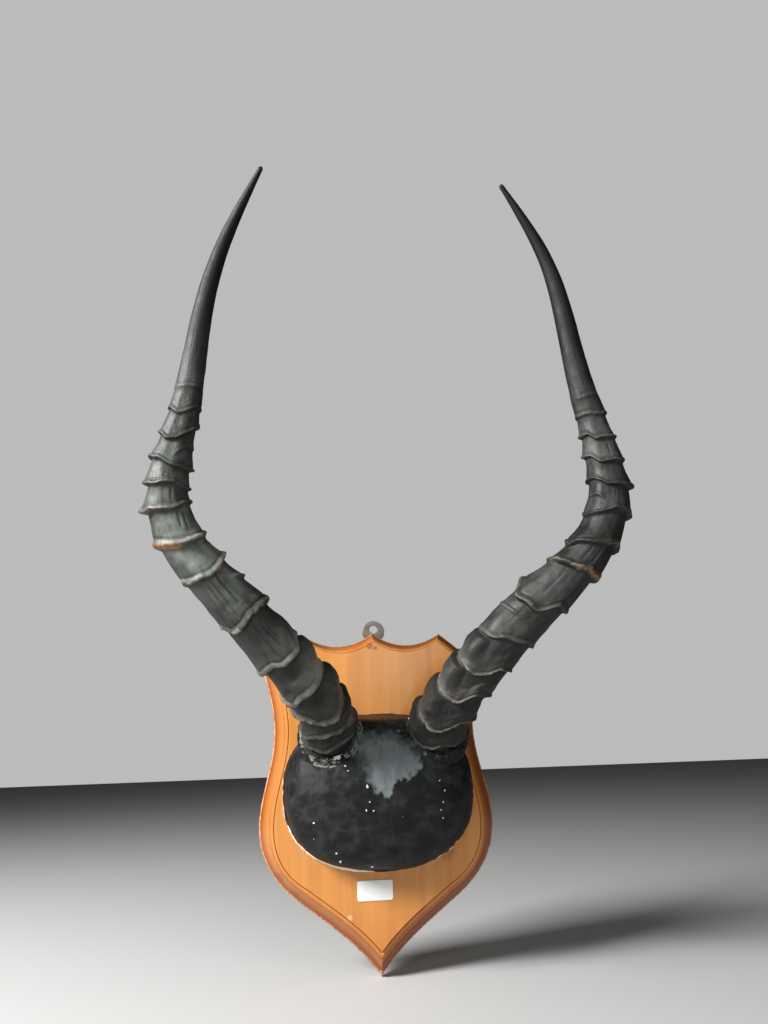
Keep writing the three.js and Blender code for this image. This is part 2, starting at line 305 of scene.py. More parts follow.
def rounded_plate(
    name: str, outlines: Sequence[Sequence[Point2]], thickness: float, edge: float
) -> bpy.types.Object:
    """Return a flat plate with softened edges, its back in the wall plane.

    Args:
        name: The piece's name.
        outlines: The outer outline, then any holes, as (x, z) points.
        thickness: The plate's thickness.
        edge: Radius of the softened edges.

    Returns:
        The mesh object.
    """
    curve = bpy.data.curves.new(name, "CURVE")
    curve.dimensions = "2D"
    curve.fill_mode = "BOTH"
    curve.extrude = (thickness / 2 - edge) * MM
    curve.bevel_depth = edge * MM
    curve.bevel_resolution = 2
    curve.offset = -edge * MM
    for outline in outlines:
        spline = curve.splines.new("POLY")
        spline.points.add(len(outline) - 1)
        for point, (x, z) in zip(spline.points, outline):
            point.co = (x * MM, z * MM, 0, 1)
        spline.use_cyclic_u = True
    drawn = bpy.data.objects.new(name, curve)
    bpy.context.scene.collection.objects.link(drawn)
    mesh = bpy.data.meshes.new_from_object(
        drawn.evaluated_get(bpy.context.evaluated_depsgraph_get())
    )
    bpy.data.objects.remove(drawn)
    mesh.transform(Matrix.Rotation(math.pi / 2, 4, "X"))
    mesh.transform(Matrix.Translation((0, -thickness / 2 * MM, 0)))
    editor = bmesh.new()
    editor.from_mesh(mesh)
    bmesh.ops.remove_doubles(editor, verts=editor.verts, dist=0.002 * MM)
    editor.to_mesh(mesh)
    editor.free()
    piece = bpy.data.objects.new(name, mesh)
    bpy.context.scene.collection.objects.link(piece)
    face_outward(piece)
    crease(piece, 40)
    return piece


# ---- Finishes ----


class Recipe:
    """The node tree of one finish, with a short call for each kind of node."""

    def __init__(self, name: str) -> None:
        """Start a material with an empty Principled surface."""
        self.material = bpy.data.materials.new(name)
        self.material.use_nodes = True
        self.tree = self.material.node_tree
        self.tree.nodes.clear()
        self.surface = self.tree.nodes.new("ShaderNodeBsdfPrincipled")
        output = self.tree.nodes.new("ShaderNodeOutputMaterial")
        self.tree.links.new(self.surface.outputs[0], output.inputs[0])
        self.place = self.tree.nodes.new("ShaderNodeTexCoord").outputs["Object"]

    def feed(self, socket: Socket, value: Feed) -> None:
        """Link or set one input."""
        if isinstance(value, bpy.types.NodeSocket):
            self.tree.links.new(value, socket)
        elif isinstance(value, tuple) and len(value) == 3 and socket.type == "RGBA":
            socket.default_value = (*value, 1.0)
        else:
            socket.default_value = value

    def set(self, **values: Feed) -> None:
        """Set or link the surface's inputs, their names written with underscores."""
        for name, value in values.items():
            self.feed(self.surface.inputs[name.replace("_", " ")], value)

    def math(self, operation: str, a: Feed, b: Feed = 0.0, clamp: bool = False) -> Socket:
        """Return what an operation makes of two values."""
        node = self.tree.nodes.new("ShaderNodeMath")
        node.operation = operation
        node.use_clamp = clamp
        self.feed(node.inputs[0], a)
        self.feed(node.inputs[1], b)
        return node.outputs[0]

    def times(self, value: Feed, by: Feed) -> Socket:
        """Return the product of two values."""
        return self.math("MULTIPLY", value, by)

    def plus(self, value: Feed, extra: Feed, share: float = 1.0, clamp: bool = False) -> Socket:
        """Return a value with a share of an extra one added.

        Args:
            value: The first value.
            extra: What is added to it.
            share: How much of the extra one is added.
            clamp: Whether the result is kept between 0 and 1.

        Returns:
            Their sum.
        """
        return self.math("ADD", value, extra if share == 1.0 else self.times(extra, share), clamp)

    def vector(self, operation: str, a: Feed, b: Feed) -> Socket:
        """Return what an operation makes of two vectors: a vector, or the distance between them."""
        node = self.tree.nodes.new("ShaderNodeVectorMath")
        node.operation = operation
        self.feed(node.inputs[0], a)
        self.feed(node.inputs[1], b)
        return node.outputs["Value" if operation == "DISTANCE" else "Vector"]

    def axis(self, name: str) -> Socket:
        """Return how far places lie along the X, Y or Z axis, in metres."""
        node = self.tree.nodes.new("ShaderNodeSeparateXYZ")
        self.feed(node.inputs[0], self.place)
        return node.outputs[name]

    def cells(self, x: float, y: float, z: float) -> Socket:
        """Return places measured in cells of x by y by z millimetres."""
        return self.vector("MULTIPLY", self.place, (1 / (x * MM), 1 / (y * MM), 1 / (z * MM)))

    def noise(
        self, where: Socket, detail: float = 3.0, rough: float = 0.5, distortion: float = 0.0
    ) -> Socket:
        """Return noise from 0 to 1 with features one cell large.

        Args:
            where: Places measured in cells.
            detail: How many finer layers it has.
            rough: How strong each finer layer is beside the one before.
            distortion: How much it is bent.

        Returns:
            The noise.
        """
        node = self.tree.nodes.new("ShaderNodeTexNoise")
        self.feed(node.inputs["Vector"], where)
        self.feed(node.inputs["Scale"], 1.0)
        self.feed(node.inputs["Detail"], detail)
        self.feed(node.inputs["Roughness"], rough)
        self.feed(node.inputs["Distortion"], distortion)
        return node.outputs[0]

    def channel(self, channel: Channel, kind: str = "Fac") -> Socket:
        """Return a value stored on the mesh, or a vector where the kind is Vector."""
        node = self.tree.nodes.new("ShaderNodeAttribute")
        node.attribute_name = channel.value
        return node.outputs[kind]

    def step(
        self, value: Feed, low: float, high: float, start: float = 0.0, end: float = 1.0
    ) -> Socket:
        """Return start where value is below low and end where it is above high.

        Args:
            value: What is measured.
            low: Where the smooth step begins.
            high: Where it ends.
            start: Its result up to low.
            end: Its result from high on.

        Returns:
            The stepped value.
        """
        node = self.tree.nodes.new("ShaderNodeMapRange")
        node.interpolation_type = "SMOOTHSTEP"
        for socket, number in zip(node.inputs, (value, low, high, start, end)):
            self.feed(socket, number)
        return node.outputs[0]

    def blend(self, share: Feed, a: Feed, b: Feed, how: str = "MIX") -> Socket:
        """Return colour a with a share of colour b blended in."""
        node = self.tree.nodes.new("ShaderNodeMix")
        node.data_type = "RGBA"
        node.blend_type = how
        self.feed(node.inputs[0], share)
        self.feed(node.inputs[6], a)
        self.feed(node.inputs[7], b)
        return node.outputs[2]

    def tones(self, value: Socket, stops: Sequence[tuple[float, Colour]]) -> Socket:
        """Return a colour picked along a row of colours."""
        node = self.tree.nodes.new("ShaderNodeValToRGB")
        ramp = node.color_ramp
        while len(ramp.elements) < len(stops):
            ramp.elements.new(1.0)
        for element, (position, colour) in zip(ramp.elements, stops):
            element.position = position
            element.color = (*colour, 1.0)
        self.feed(node.inputs[0], value)
        return node.outputs[0]

    def spot(self, centre: Point3, radius: float, ragged: Socket, reach: float = 1.0) -> Socket:
        """Return 1 in a ragged spot round a place, falling to 0 outside it.

        Args:
            centre: The spot's middle.
            radius: Its mean radius.
            ragged: Noise that makes its edge ragged.
            reach: How ragged it is.

        Returns:
            The share of the spot.
        """
        metres = tuple(v * MM for v in centre)
        away = self.math("DIVIDE", self.vector("DISTANCE", self.place, metres), radius * MM)
        away = self.plus(away, ragged, reach)
        return self.step(away, 0.75 + reach / 2, 1.15 + reach / 2, 1.0, 0.0)

    def bump(self, height: Feed, depth: float, under: Socket | None = None) -> Socket:
        """Return the normal of a surface raised by height times depth millimetres."""
        node = self.tree.nodes.new("ShaderNodeBump")
        self.feed(node.inputs["Height"], height)
        self.feed(node.inputs["Distance"], depth * MM)
        if under is not None:
            self.feed(node.inputs["Normal"], under)
        return node.outputs[0]


@dataclass(frozen=True)
class VarnishedWood:
    """Orange-brown varnish over upright grain, its moulding stained, with painted shade in the quirk,
    the cove and on its right side, and bare on the back.

    Attributes:
        pale: The palest streaks of the face.
        light: The face between its streaks.
        deep: Its dark streaks and pores, and the darkening near its foot.
        stain_and_shade: Stain of the moulding and the smudges, and painted shade in the quirk, the cove,
            on the right of the moulding and right of the dome's foot.
        rubbed: Wood with its varnish rubbed off.
        raw: Bare wood of the back.
        raw_deep: Dark streaks of the back.
        raw_fibre: Dark fibres of the back.
        sawn: Saw marks across the back.
        varnish: Weight of the clear coat.
        smudges_and_shadow: Dark spots, as (centre, radius, strength): smudges, and first the dome's
            painted shadow right of its foot.
        rubs: Rubbed spots, as (centre, radius).
        foot: The heights between which the face darkens towards its foot.
    """

    pale: Colour = (0.70, 0.32, 0.10)
    light: Colour = (0.65, 0.27, 0.06)
    deep: Colour = (0.56, 0.212, 0.056)
    stain_and_shade: Colour = (0.22, 0.036, 0.004)
    rubbed: Colour = (0.80, 0.52, 0.30)
    raw: Colour = (0.64, 0.43, 0.24)
    raw_deep: Colour = (0.44, 0.26, 0.12)
    raw_fibre: Colour = (0.34, 0.19, 0.085)
    sawn: Colour = (0.36, 0.21, 0.10)
    varnish: float = 0.35
    smudges_and_shadow: tuple[tuple[Point3, float, float], ...] = (
        # First a painted shadow of the dome, right of its foot; then smudges.
        ((61.6, FACE_DEPTH, -50.8), 7.0, 0.35), ((-90.0, -12.0, -66.0), 5.0, 0.35),
        ((-74.0, -12.0, -80.0), 3.5, 0.3), ((-4.0, FACE_DEPTH, 137.0), 3.4, 0.7),
        ((2.0, FACE_DEPTH, 134.5), 2.2, 0.6),
    )
    rubs: tuple[tuple[Point3, float], ...] = (
        ((-27.6, FACE_DEPTH, -100.5), 2.4), ((0.0, -8.0, -149.0), 4.0),
    )
    foot: Point2 = (-145.0, -75.0)

    def material(self) -> bpy.types.Material:
        """Return the finish."""
        mix = Recipe("varnished_wood")
        streaks = mix.noise(mix.cells(14, 30, 260), 3, 0.55, 0.6)
        fibres = mix.noise(mix.cells(0.9, 6, 42), 4, 0.6)
        pores = mix.noise(mix.cells(0.45, 3, 9), 2, 0.5)
        saw = mix.noise(mix.cells(30, 3, 1.1), 2, 0.5)
        tone = mix.plus(mix.times(streaks, 0.8), fibres, 0.2)
        wander = mix.times(mix.noise(mix.cells(9, 9, 9), 3), 1.2 * MM)
        behind = mix.step(mix.plus(mix.axis("Y"), wander), -0.4 * MM, 0.25 * MM)
        wood = mix.blend(behind, self.face(mix, tone, pores), self.back(mix, tone, fibres, saw))
        rough = mix.step(mix.noise(mix.cells(20, 20, 40), 3), 0.3, 0.8, 0.26, 0.42)
        rough = mix.plus(rough, behind, 0.4)
        normal = mix.bump(fibres, 0.10)
        normal = mix.bump(mix.times(pores, -1.0), 0.05, normal)
        normal = mix.bump(mix.times(saw, behind), 0.07, normal)
        mix.set(Base_Color=wood, Roughness=rough, Normal=normal, Specular_IOR_Level=0.35)
        mix.set(Coat_Weight=self.varnish, Coat_Roughness=0.16)
        return mix.material

    def face(self, mix: Recipe, tone: Socket, pores: Socket) -> Socket:
        """Return the colour of the varnished face and edge.

        Args:
            mix: The finish's node tree.
            tone: How dark or light the grain is.
            pores: Noise as fine as the wood's pores.

        Returns:
            The colour.
        """
        wood = mix.tones(tone, [(0.30, self.deep), (0.52, self.light), (0.75, self.pale)])
        wood = mix.blend(mix.step(pores, 0.60, 0.72, 0.0, 0.15), wood, self.deep)
        broad = mix.noise(mix.cells(60, 60, 120), 2)
        wood = mix.blend(mix.step(broad, 0.45, 0.75, 0.0, 0.22), wood, self.deep, "MULTIPLY")
        # Stain and painted shade on the moulding.
        wood = mix.blend(mix.times(mix.channel(Channel.MOULDING), 0.85), wood, self.stain_and_shade)
        ragged = mix.noise(mix.cells(7, 7, 5), 4, 0.7)
        # Dark spots: smudges, and the dome's painted shadow.
        for centre, radius, strength in self.smudges_and_shadow:
            spot = mix.spot(centre, radius, ragged, 1.2)
            wood = mix.blend(mix.times(spot, strength), wood, self.stain_and_shade)
        scuffs = mix.noise(mix.cells(2.2, 2.2, 3.5), 4, 0.65)
        wear = mix.step(mix.plus(mix.channel(Channel.WEAR), scuffs), 1.02, 1.25)
        for centre, radius in self.rubs:
            wear = mix.math("MAXIMUM", wear, mix.spot(centre, radius, scuffs, 0.8))
        wood = mix.blend(mix.times(wear, 0.7), wood, self.rubbed)
        low, high = self.foot
        # The face darkens towards its foot.
        darker_below = mix.step(mix.axis("Z"), low * MM, high * MM, 0.3, 0.0)
        return mix.blend(darker_below, wood, self.deep, "MULTIPLY")

    def back(self, mix: Recipe, tone: Socket, fibres: Socket, saw: Socket) -> Socket:
        """Return the colour of the bare back.

        Args:
            mix: The finish's node tree.
            tone: How dark or light the grain is.
            fibres: Noise as fine as the wood's fibres.
            saw: Noise drawn out across the board, like saw marks.

        Returns:
            The colour.
        """
        wood = mix.blend(mix.step(tone, 0.36, 0.62), self.raw_deep, self.raw)
        wood = mix.blend(mix.step(fibres, 0.5, 0.75, 0.0, 0.35), wood, self.raw_fibre)
        return mix.blend(mix.step(saw, 0.45, 0.7, 0.0, 0.1), wood, self.sawn)


@dataclass(frozen=True)
class PaintedPlaster:
    """Gloss black paint, brushed over hand-worked plaster and chipped down to white, with a painted
    reflection in a patch between the horns.

    Attributes:
        paint: The black paint.
        smear: Where it is thin or brushed grey.
        reflection_and_bloom: The grey-blue patch between the horns: a painted reflection of an overhead
            light in the gloss paint, partly a bloom in the paint.
        plaster: White plaster in the chips and along the foot.
        crust: Flaked filler on the collars.
        bone: The strip of brown bone along the top edge.
    """

    paint: Colour = (0.009, 0.010, 0.010)
    smear: Colour = (0.036, 0.041, 0.039)
    reflection_and_bloom: Colour = (0.175, 0.205, 0.208)
    plaster: Colour = (0.74, 0.72, 0.67)
    crust: Colour = (0.24, 0.236, 0.205)
    bone: Colour = (0.075, 0.034, 0.016)

    def material(self) -> bpy.types.Material:
        """Return the finish."""
        mix = Recipe("painted_plaster")
        cloudy = mix.noise(mix.cells(15, 15, 11), 4, 0.6, 0.2)
        brush = mix.noise(mix.cells(1.6, 3, 9), 4, 0.65, 0.5)
        fine = mix.noise(mix.cells(1.3, 1.3, 1.3), 3, 0.6)
        mottle = mix.step(mix.noise(mix.cells(9, 9, 14), 4, 0.6, 0.6), 0.36, 0.6, 0.75, 1.0)
        flake = mix.step(mix.plus(mix.channel(Channel.CRUST), fine, 0.8), 0.85, 1.1)
        bare = mix.step(mix.plus(mix.channel(Channel.BARE), fine, 0.5), 0.68, 0.82)
        colour = mix.blend(mix.step(cloudy, 0.40, 0.70, 0.0, 0.65), self.paint, self.smear)
        colour = mix.blend(mix.step(brush, 0.56, 0.74, 0.0, 0.35), colour, self.smear)
        # Painted reflection, partly bloom: the grey-blue patch between the horns.
        colour = mix.blend(mix.times(mix.channel(Channel.SHEEN), mottle), colour, self.reflection_and_bloom)
        colour = mix.blend(mix.channel(Channel.BONE), colour, self.bone)
        colour = mix.blend(mix.times(flake, 0.85), colour, self.crust)
        colour = mix.blend(bare, colour, self.plaster)
        rough = mix.step(cloudy, 0.35, 0.7, 0.44, 0.60)
        rough = mix.plus(rough, flake, 0.25, clamp=True)
        rough = mix.math("MAXIMUM", rough, mix.times(bare, 0.85))
        normal = mix.bump(mix.noise(mix.cells(9, 9, 9), 3, 0.5), 0.3)
        normal = mix.bump(brush, 0.04, normal)
        normal = mix.bump(mix.times(bare, -1.0), 0.18, normal)
        mix.set(Base_Color=colour, Roughness=rough, Normal=normal, Specular_IOR_Level=0.14)
        return mix.material


@dataclass(frozen=True)
class HornKeratin:
    """Dark horn: fine lengthwise fibres, darker furrows, painted shade in the creases, painted light and
    shade along it, and pale worn ring lips.

    Attributes:
        dark: Its darkest skin.
        grey: Its lightest skin.
        root: Its skin near the root.
        brown: Its skin near the tip.
        furrow_and_shade_dark: Near-black for the furrows and splits, and for the painted shade under the
            ring lips and in the hollows between them.
        rim: Lightly rubbed lips.
        cream: Lips that are worn pale.
        tan: Lips that are worn to orange horn, at their lightest.
        tan_deep: The same at their darkest.
    """

    dark: Colour = (0.040, 0.040, 0.036)
    grey: Colour = (0.135, 0.149, 0.132)
    root: Colour = (0.100, 0.090, 0.075)
    brown: Colour = (0.120, 0.112, 0.098)
    furrow_and_shade_dark: Colour = (0.012, 0.011, 0.009)
    rim: Colour = (0.170, 0.165, 0.142)
    cream: Colour = (0.215, 0.192, 0.148)
    tan: Colour = (0.370, 0.190, 0.065)
    tan_deep: Colour = (0.150, 0.068, 0.034)

    def material(self) -> bpy.types.Material:
        """Return the finish."""
        mix = Recipe("horn_keratin")
        grow = mix.channel(Channel.FIBRE, "Vector")
        fibres = mix.noise(mix.vector("MULTIPLY", grow, (1.1, 1.1, 0.05)), 4, 0.65, 0.3)
        hairs = mix.noise(mix.vector("MULTIPLY", grow, (3.2, 3.2, 0.12)), 3, 0.6)
        clouds = mix.noise(mix.cells(17, 17, 17), 4, 0.55, 0.4)
        fine = mix.noise(mix.cells(2.2, 2.2, 2.2), 4, 0.65)
        along = mix.channel(Channel.ALONG)
        painted_crevice_shade = mix.channel(Channel.CREVICE)
        tone = mix.plus(mix.times(clouds, 0.72), fibres, 0.28)
        colour = mix.blend(mix.step(tone, 0.30, 0.62), self.dark, self.grey)
        near_root = mix.step(along, 0.10, 0.30, 1.0, 0.0)
        colour = mix.blend(mix.times(near_root, 0.8), colour, self.root)
        colour = mix.blend(mix.step(along, 0.66, 0.82, 0.0, 0.8), colour, self.brown)
        colour = mix.blend(mix.step(hairs, 0.55, 0.75, 0.0, 0.2), colour, self.dark)
        # Painted light and shade: the skin is multiplied by the stored lightness.
        colour = mix.blend(1.0, colour, mix.channel(Channel.SHADE), "MULTIPLY")
        colour = mix.blend(mix.times(mix.channel(Channel.GROOVE), 0.6), colour, self.furrow_and_shade_dark)
        # Painted shade: the crevices under the ring lips and the hollows between them are darkened.
        colour = mix.blend(mix.times(painted_crevice_shade, 0.85), colour, self.furrow_and_shade_dark)
        colour = self.wear(mix, colour, fine, near_root)
        rough = mix.step(clouds, 0.3, 0.7, 0.36, 0.52)
        rough = mix.plus(rough, painted_crevice_shade, 0.3, clamp=True)
        rough = mix.plus(rough, mix.step(along, 0.04, 0.24, 0.20, 0.0), clamp=True)
        rough = mix.plus(rough, mix.step(along, 0.42, 0.80, 0.0, 0.16), clamp=True)
        normal = mix.bump(fibres, 0.26)
        normal = mix.bump(hairs, 0.10, normal)
        pitted = mix.times(fine, mix.step(along, 0.12, 0.32, 1.0, 0.25))
        normal = mix.bump(pitted, 0.5, normal)
        mix.set(Base_Color=colour, Roughness=rough, Normal=normal, Specular_IOR_Level=0.4)
        return mix.material

    def wear(self, mix: Recipe, skin: Socket, fine: Socket, near_root: Socket) -> Socket:
        """Return the skin's colour with the wear of the ring lips.

        Args:
            mix: The finish's node tree.
            skin: The colour of unworn horn.
            fine: Fine noise.
            near_root: 1 near the root and 0 elsewhere.

        Returns:
            The colour.
        """
        patchy = mix.step(mix.noise(mix.cells(8, 8, 8), 3, 0.6), 0.40, 0.58, 0.25, 1.0)
        rubbed = mix.step(mix.plus(mix.channel(Channel.LIP), fine, 0.8), 0.55, 1.25)
        share = mix.times(mix.plus(0.12, near_root, 0.35), patchy)
        colour = mix.blend(mix.times(rubbed, share), skin, self.rim)
        orange = mix.plus(mix.channel(Channel.TAN), fine, 0.35)
        worn = mix.blend(mix.step(fine, 0.35, 0.65), self.tan_deep, self.tan)
        colour = mix.blend(mix.step(orange, 0.45, 1.0, 0.0, 0.9), colour, worn)
        pale = mix.plus(mix.times(mix.channel(Channel.PALE), patchy), fine, 0.5)
        return mix.blend(mix.step(pale, 0.60, 1.2, 0.0, 0.95), colour, self.cream)


@dataclass(frozen=True)
class Steel:
    """Dull plated steel with scratches, grime and a little rust.

    Attributes:
        name: The material's name.
        metal: The clean metal.
        grime: The metal under grime.
        rust_from: Where in the noise the rust begins, the lower the more of it.
        rust: The rust.
    """

    name: str
    metal: Colour
    grime: Colour
    rust_from: float
    rust: Colour = (0.20, 0.075, 0.03)

    def material(self) -> bpy.types.Material:
        """Return the finish."""
        mix = Recipe(self.name)
        cloudy = mix.noise(mix.cells(5, 5, 5), 5, 0.65, 0.5)
        scratch = mix.noise(mix.cells(0.35, 6, 7), 3, 0.6, 0.2)
        colour = mix.blend(mix.step(cloudy, 0.4, 0.72, 0.0, 0.7), self.metal, self.grime)
        rusty = mix.step(mix.noise(mix.cells(2.6, 2.6, 2.6), 5, 0.7), self.rust_from, 0.74)
        colour = mix.blend(rusty, colour, self.rust)
        rough = mix.step(mix.plus(cloudy, scratch), 0.7, 1.3, 0.32, 0.58)
        rough = mix.plus(rough, rusty, 0.3, clamp=True)
        metallic = mix.plus(0.92, rusty, -0.8)
        normal = mix.bump(scratch, 0.03)
        normal = mix.bump(rusty, 0.06, normal)
        mix.set(Base_Color=colour, Roughness=rough, Metallic=metallic, Normal=normal)
        return mix.material


PLATE_STEEL = Steel("plate_steel", metal=(0.30, 0.26, 0.22), grime=(0.16, 0.13, 0.11), rust_from=0.60)
SCREW_STEEL = Steel("screw_steel", metal=(0.52, 0.49, 0.43), grime=(0.25, 0.21, 0.16), rust_from=0.56)


@dataclass(frozen=True)
class StickerPaper:
    """Matt white paper, a little soiled at its edges.

    Attributes:
        white: The clean paper.
        soiled: The soiled paper.
    """

    white: Colour = (0.90, 0.90, 0.885)
    soiled: Colour = (0.70, 0.66, 0.58)

    def material(self) -> bpy.types.Material:
        """Return the finish."""
        mix = Recipe("sticker_paper")
        cloudy = mix.noise(mix.cells(6, 6, 4), 4, 0.6)
        fibres = mix.noise(mix.cells(0.5, 0.5, 0.5), 3, 0.7)
        edge = mix.channel(Channel.WEAR)
        soil = mix.plus(mix.times(edge, 0.5), cloudy, 0.5)
        colour = mix.blend(mix.step(soil, 0.42, 0.95, 0.0, 0.8), self.white, self.soiled)
        rough = mix.step(fibres, 0.3, 0.7, 0.62, 0.82)
        mix.set(Base_Color=colour, Roughness=rough, Normal=mix.bump(fibres, 0.03))
        return mix.material


# ---- The horns ----


class Path:
    """A smooth line through points, walked by distance along it."""

    def __init__(self, points: Sequence[Point3], samples: int = 4000) -> None:
        """Fit a natural cubic through the points and measure it.

        Args:
            points: Where the line passes.
            samples: How many steps it is measured in.
        """
        knots_at = np.array(points, float)
        chords = np.linalg.norm(np.diff(knots_at, axis=0), axis=1)
        knots = np.concatenate([[0.0], np.cumsum(np.sqrt(chords))])
        count, gap = len(knots), np.diff(knots)
        system, target = np.eye(count), np.zeros((count, 3))
        for i in range(1, count - 1):
            system[i, i - 1 : i + 2] = gap[i - 1], 2 * (gap[i - 1] + gap[i]), gap[i]
            after = (knots_at[i + 1] - knots_at[i]) / gap[i]
            before = (knots_at[i] - knots_at[i - 1]) / gap[i - 1]
            target[i] = 6 * (after - before)
        bend = np.linalg.solve(system, target)
        at = np.linspace(0, knots[-1], samples)
        i = np.clip(np.searchsorted(knots, at, side="right") - 1, 0, count - 2)
        past, left, wide = (at - knots[i])[:, None], (knots[i + 1] - at)[:, None], gap[i][:, None]
        self.places = (bend[i] * left**3 + bend[i + 1] * past**3) / (6 * wide)
        self.places += (knots_at[i] / wide - bend[i] * wide / 6) * left
        self.places += (knots_at[i + 1] / wide - bend[i + 1] * wide / 6) * past
        steps = np.linalg.norm(np.diff(self.places, axis=0), axis=1)
        self.distance = np.concatenate([[0.0], np.cumsum(steps)])
        self.length = float(self.distance[-1])

    def at(self, distance: Array) -> Array:
        """Return the places at distances along the line, run on straight before its start."""
        flat = np.ravel(distance)
        here = np.stack([np.interp(flat, self.distance, axis) for axis in self.places.T], axis=-1)
        start = self.places[1] - self.places[0]
        here += np.minimum(flat, 0)[:, None] * start / np.linalg.norm(start)
        return here.reshape(*np.shape(distance), 3)

    def frames(self, distance: Array) -> tuple[Array, Array, Array, Array]:
        """Return place, direction, front and side at distances along the line.

        The front faces the room and the side the viewer's left.
        """
        step = 1.5
        ahead = self.at(np.minimum(distance + step, self.length))
        behind = self.at(np.minimum(distance, self.length - step) - step)
        along = ahead - behind
        along /= np.linalg.norm(along, axis=-1, keepdims=True)
        front = np.cross([1.0, 0.0, 0.0], along)
        front /= np.linalg.norm(front, axis=-1, keepdims=True)
        return self.at(distance), along, front, np.cross(front, along)


@dataclass(frozen=True)
class Ring:
    """One growth ring of a horn.

    Attributes:
        crest: Where its lip runs: (degrees round the horn, distance from the root) pairs. Nought
            degrees faces the room, and the viewer's left is positive.
        rise: How far the lip stands out.
        pale: How worn and pale the lip is, from 0 to 1.
        ears: How much further it stands out at the viewer's left and at the right.
        tan: Degrees from and to which the lip is worn to orange horn, and how strongly.
        arc: Degrees from and to which a partial ring shows, or None for a whole one.
        bead: How far the rounded bead stands out on the lip.
        roll: Half the bead's width.
        crease: Depth of the crease behind the bead.
        under: Length of the step on its root side.
    """

    crest: tuple[Point2, ...]
    rise: float = 2.8
    pale: float = 0.35
    ears: Point2 = (0.0, 0.0)
    tan: tuple[float, float, float] | None = None
    arc: tuple[float, float] | None = None
    bead: float = 0.9
    roll: float = 1.4
    crease: float = 0.45
    under: float = 2.4

    def lip(self, degrees: Array) -> Array:
        """Return how far from the root the lip lies at each angle."""
        angle, distance = np.array(self.crest, float).T
        nearby = (-7.0, -3.5, 0.0, 3.5, 7.0)
        turned = [np.interp(degrees + by, angle, distance, period=360) for by in nearby]
        return np.mean(turned, axis=0)

    def reach(self, degrees: Array) -> Array:
        """Return how far the lip stands out at each angle."""
        left, right = self.ears
        return self.rise + left * hump(degrees - 88, 38) + right * hump(degrees + 88, 38)

    def presence(self, degrees: Array) -> Array:
        """Return how much of the ring there is at each angle, from 0 to 1."""
        if self.arc is None:
            return np.ones_like(degrees)
        return self.window(degrees, *self.arc, 14.0)

    def tan_share(self, degrees: Array) -> Array:
        """Return how orange the lip is at each angle, from 0 to 1."""
        if self.tan is None:
            return np.zeros_like(degrees)
        low, high, strength = self.tan
        return strength * self.window(degrees, low, high, 12.0)

    @staticmethod
    def window(degrees: Array, low: float, high: float, soft: float) -> Array:
        """Return 1 between two angles, with soft ends."""
        return ease(low - soft, low + soft, degrees) * (1 - ease(high - soft, high + soft, degrees))


@dataclass(frozen=True)
class Scar:
    """A lengthwise split or furrow in a horn's surface.

    Attributes:
        degrees: Where it lies round the horn, at its start and at its end.
        reach: Its start and its end, as distances from the root.
        width: How wide it is.
        depth: How deep it is.
    """

    degrees: Point2
    reach: Point2
    width: float
    depth: float

    def cut(self, degrees: Array, distance: Array, radius: Array) -> Array:
        """Return its share of full depth at each place."""
        share = (distance - self.reach[0]) / (self.reach[1] - self.reach[0])
        middle = self.degrees[0] + (self.degrees[1] - self.degrees[0]) * share
        sideways = np.radians(degrees - middle) * radius
        ends = ease(0.0, 0.15, share) * (1 - ease(0.85, 1.0, share))
        return hump(sideways, self.width / 3) * ends


@dataclass(frozen=True)
class Skin:
    """Where the points of a horn's skin lie, row by row from the root.

    Attributes:
        around: Degrees round the horn.
        distance: Distances from the root.
        radius: The horn's radius between its rings.
        local: Places in the straightened horn, as an array of shape (n, 3).
        low: 1 among the coarse rings near the root and 0 beyond them.
    """

    around: Array
    distance: Array
    radius: Array
    local: Array
    low: Array


